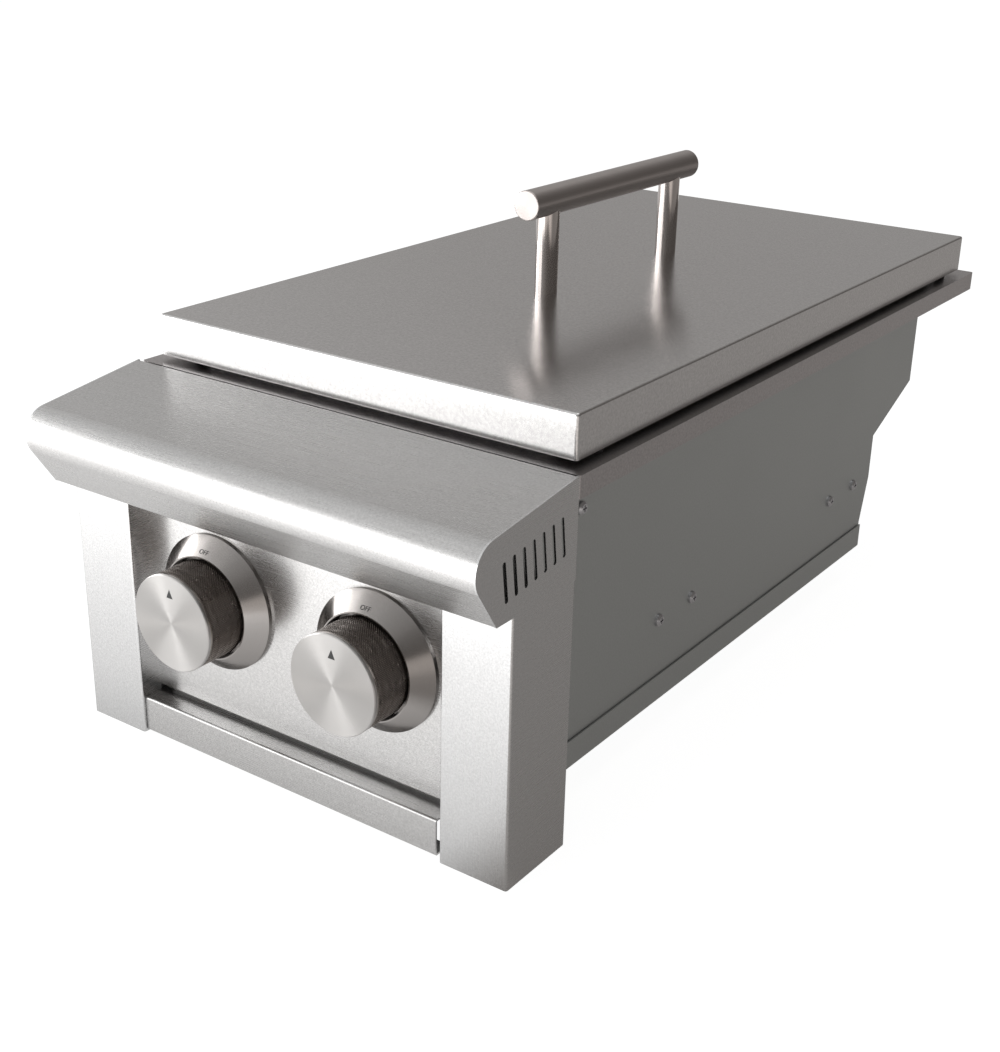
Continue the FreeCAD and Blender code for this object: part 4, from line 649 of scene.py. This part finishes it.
for side, outwards in (("left", -1), ("right", 1)):
    block = corner_shade_block(side, outwards)
    # The block's black is painted shade for the corner.
    dress(block, rubber)
    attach(block, "burner_box")
    print(block.name, "has", len(block.data.polygons), "faces")

# %% [markdown]
# ## Light for the metal and light for the camera
#
# Metal shows what stands round it, so the room matters more than the lamps. But the photograph has a
# pure white background, which would turn every piece of metal white.
# Light Path's Is Camera Ray tells the two apart: the camera gets one colour, and all that is mirrored or
# lit gets another. The other colour comes from a colour ramp, whose stops say how bright and how warm.

# %% Two helpers for the room
WARM = (1.0, 0.93, 0.88)


def graded(network, value, stops):
    """Colour by a value from 0 to 1; each stop is (value, brightness, how warm)."""
    ramp = network.add("ShaderNodeValToRGB", {"Fac": value})
    points = ramp.color_ramp.elements
    for number, (at, level, warmth) in enumerate(stops):
        point = points[number] if number < len(points) else points.new(at)
        point.position = at
        point.color = [level * (1 - warmth * (1 - part)) for part in WARM] + [1]
    return ramp.outputs["Color"]


def seen_as(network, to_camera, to_others):
    """One colour for the camera and another for everything that is mirrored or lit."""
    rays = network.add("ShaderNodeLightPath")
    return network.mix(rays.outputs["Is Camera Ray"], to_others, to_camera, "RGBA")


print("warm light has the colour", WARM)

# %% [markdown]
# ## The studio
#
# In the photograph one soft light stands at the front left and hardly any at the right, so the front
# faces shine, the top is mid grey and the right side is dark and a little brown.
# The world is dim and warm at the right, brighter and plain up to the left, and it has a soft glow behind
# the object, which the lid mirrors.

# %% A world that is white to the camera and graded to the metal
WHITE = (1, 1, 1, 1)
UP_LEFT = Vector((-0.5, -0.4, 0.77))
BACK_LEFT = Vector((-0.57, 0.80, 0.2))
ROOM_STOPS = ((0.35, 0.14, 1), (0.57, 0.17, 1), (0.73, 0.36, 0.4), (0.8, 0.54, 0.2), (0.92, 0.75, 0),
              (0.99, 0.9, 0))
GLOW_LEVEL = 0.2
GLOW_EDGE = 0.6
GLOW_CORE = 0.95


def studio_world():
    """White to the camera, graded to everything else."""
    world = bpy.data.worlds.new("studio")
    scene.world = world
    network = Network(world)
    way = network.where("Generated")
    height = network.vector("DOT_PRODUCT", way, UP_LEFT, "Value")
    room = graded(network, network.spread(height, 0, 1, -1, 1), ROOM_STOPS)
    towards_glow = network.vector("DOT_PRODUCT", way, BACK_LEFT, "Value")
    behind = network.spread(towards_glow, 0, GLOW_LEVEL, GLOW_EDGE, GLOW_CORE)
    glow = network.add("ShaderNodeCombineXYZ", {"X": behind, "Y": behind, "Z": behind})
    level = network.vector("ADD", room, glow.outputs[0])
    background = network.tree.nodes["Background"]
    network.tree.links.new(seen_as(network, WHITE, level), background.inputs["Color"])


studio_world()
print("stops of the room:", len(ROOM_STOPS))

# %% [markdown]
# ## The floor
#
# The floor is a wide white sheet just under the feet of the pillars. The camera sees it glow almost
# white, and a thin layer of plain paint on top makes up the rest, so the object keeps its soft shadow.
# The metal sees another floor. It is dim at the right, where the object keeps the light away, and in
# front it gets brighter with each step away from the fascia. The two ways are drawn apart, as one
# gradient from right to left and one from back to front, and then multiplied.

# %% How bright the metal sees the floor
RIGHT_TO_LEFT = (0.25, 0.0)
BACK_TO_FRONT = (1.0, -0.85)
SIDEWAYS_STOPS = ((0.38, 0.32, 1), (0.56, 1.0, 0.1))
OUTWARDS_STOPS = ((0.0, 0.7, 0), (0.43, 0.58, 0), (0.69, 0.58, 0), (0.724, 0.92, 0), (0.757, 1.08, 0),
                  (0.789, 1.27, 0), (0.822, 1.42, 0), (0.876, 2.2, 0), (1.0, 2.6, 0))


def floor_light(network):
    """How bright each place of the floor is when it is seen in metal."""
    place = network.add("ShaderNodeSeparateXYZ", {"Vector": network.where()}).outputs
    sideways = graded(network, network.spread(place["X"], 0, 1, *RIGHT_TO_LEFT), SIDEWAYS_STOPS)
    outwards = graded(network, network.spread(place["Y"], 0, 1, *BACK_TO_FRONT), OUTWARDS_STOPS)
    return network.vector("MULTIPLY", sideways, outwards)


print("stops of the floor:", len(SIDEWAYS_STOPS) + len(OUTWARDS_STOPS))

# %% [markdown]
# ## Laying the floor
#
# Glow and paint are two shaders, and the Add Shader node lays one over the other.

# %% Lay the floor
FLOOR_SIZE = 40.0
FLOOR_SQUARES = 8
FLOOR_DROP = 0.05 * MM
FLOOR_GLOW = 0.93
FLOOR_PAINT = 0.2


def grey(level):
    """An opaque grey."""
    return (level, level, level, 1)


def studio_floor():
    """A white floor that glows to the camera and keeps a soft shadow."""
    mesh = bmesh.new()
    bmesh.ops.create_grid(mesh, x_segments=FLOOR_SQUARES, y_segments=FLOOR_SQUARES, size=FLOOR_SIZE / 2)
    floor = add_piece("studio_floor", mesh)
    floor.location.z = -FLOOR_DROP
    material = bpy.data.materials.new("floor_white")
    network = Network(material)
    network.tree.nodes.clear()
    colour = seen_as(network, grey(FLOOR_GLOW), floor_light(network))
    glow = network.add("ShaderNodeEmission", {"Color": colour})
    paint = network.add("ShaderNodeBsdfDiffuse", {"Color": grey(FLOOR_PAINT)})
    both = network.add("ShaderNodeAddShader", {0: glow.outputs[0], 1: paint.outputs[0]})
    network.add("ShaderNodeOutputMaterial", {"Surface": both.outputs[0]})
    dress(floor, material)


studio_floor()
print("size of the floor:", FLOOR_SIZE)

# %% [markdown]
# ## The lamps
#
# A wide soft box stands at the front left. It draws the bright line along the visor's nose and the bow
# tie on the spun caps. A smaller and stronger one at the left draws the white sector on each bezel and
# the bright edge of the handle's posts. A third, dim one hangs over the hob.
# All three are area lamps, because a small lamp would draw hard spots on brushed metal.

# %% Hang three soft lamps
def soft_lamp(name, place, aim, width, height, power):
    """A rectangular lamp that looks at a point."""
    data = bpy.data.lights.new(name, "AREA")
    data.shape = "RECTANGLE"
    data.size = width
    data.size_y = height
    data.energy = power
    lamp = bpy.data.objects.new(name, data)
    scene.collection.objects.link(lamp)
    lamp.location = place
    lamp.rotation_euler = (Vector(aim) - Vector(place)).to_track_quat("-Z", "Y").to_euler()
    return lamp


soft_lamp("soft_box", place=(-0.92, -1.20, 0.42), aim=(0, -0.30, 0.17), width=1.3, height=0.6, power=6.2)
soft_lamp("left_lamp", place=(-1.17, -0.50, 0.44), aim=(0, -0.30, 0.12), width=0.6, height=0.6, power=7.0)
soft_lamp("top_lamp", place=(0.2, 0.3, 1.9), aim=(0, 0, 0.2), width=1.6, height=1.2, power=6)
scene.view_settings.view_transform = "Standard"
print("lamps:", len(bpy.data.lights))

# %% [markdown]
# ## Last checks
#
# Every solid that still shows must have a finish, and the dressed object must be as large as the model.
# Only the finishes are checked here: every solid without one is printed, so a mistake shows at once.

# %% Check the finishes
bare = [name for name, node in nodes.items() if not node.hide_render and not node.data.materials]
missing = [name for name in nodes if name not in FINISHES and not name.endswith("knob_skirt")]
print("solids without a finish:", bare + missing)
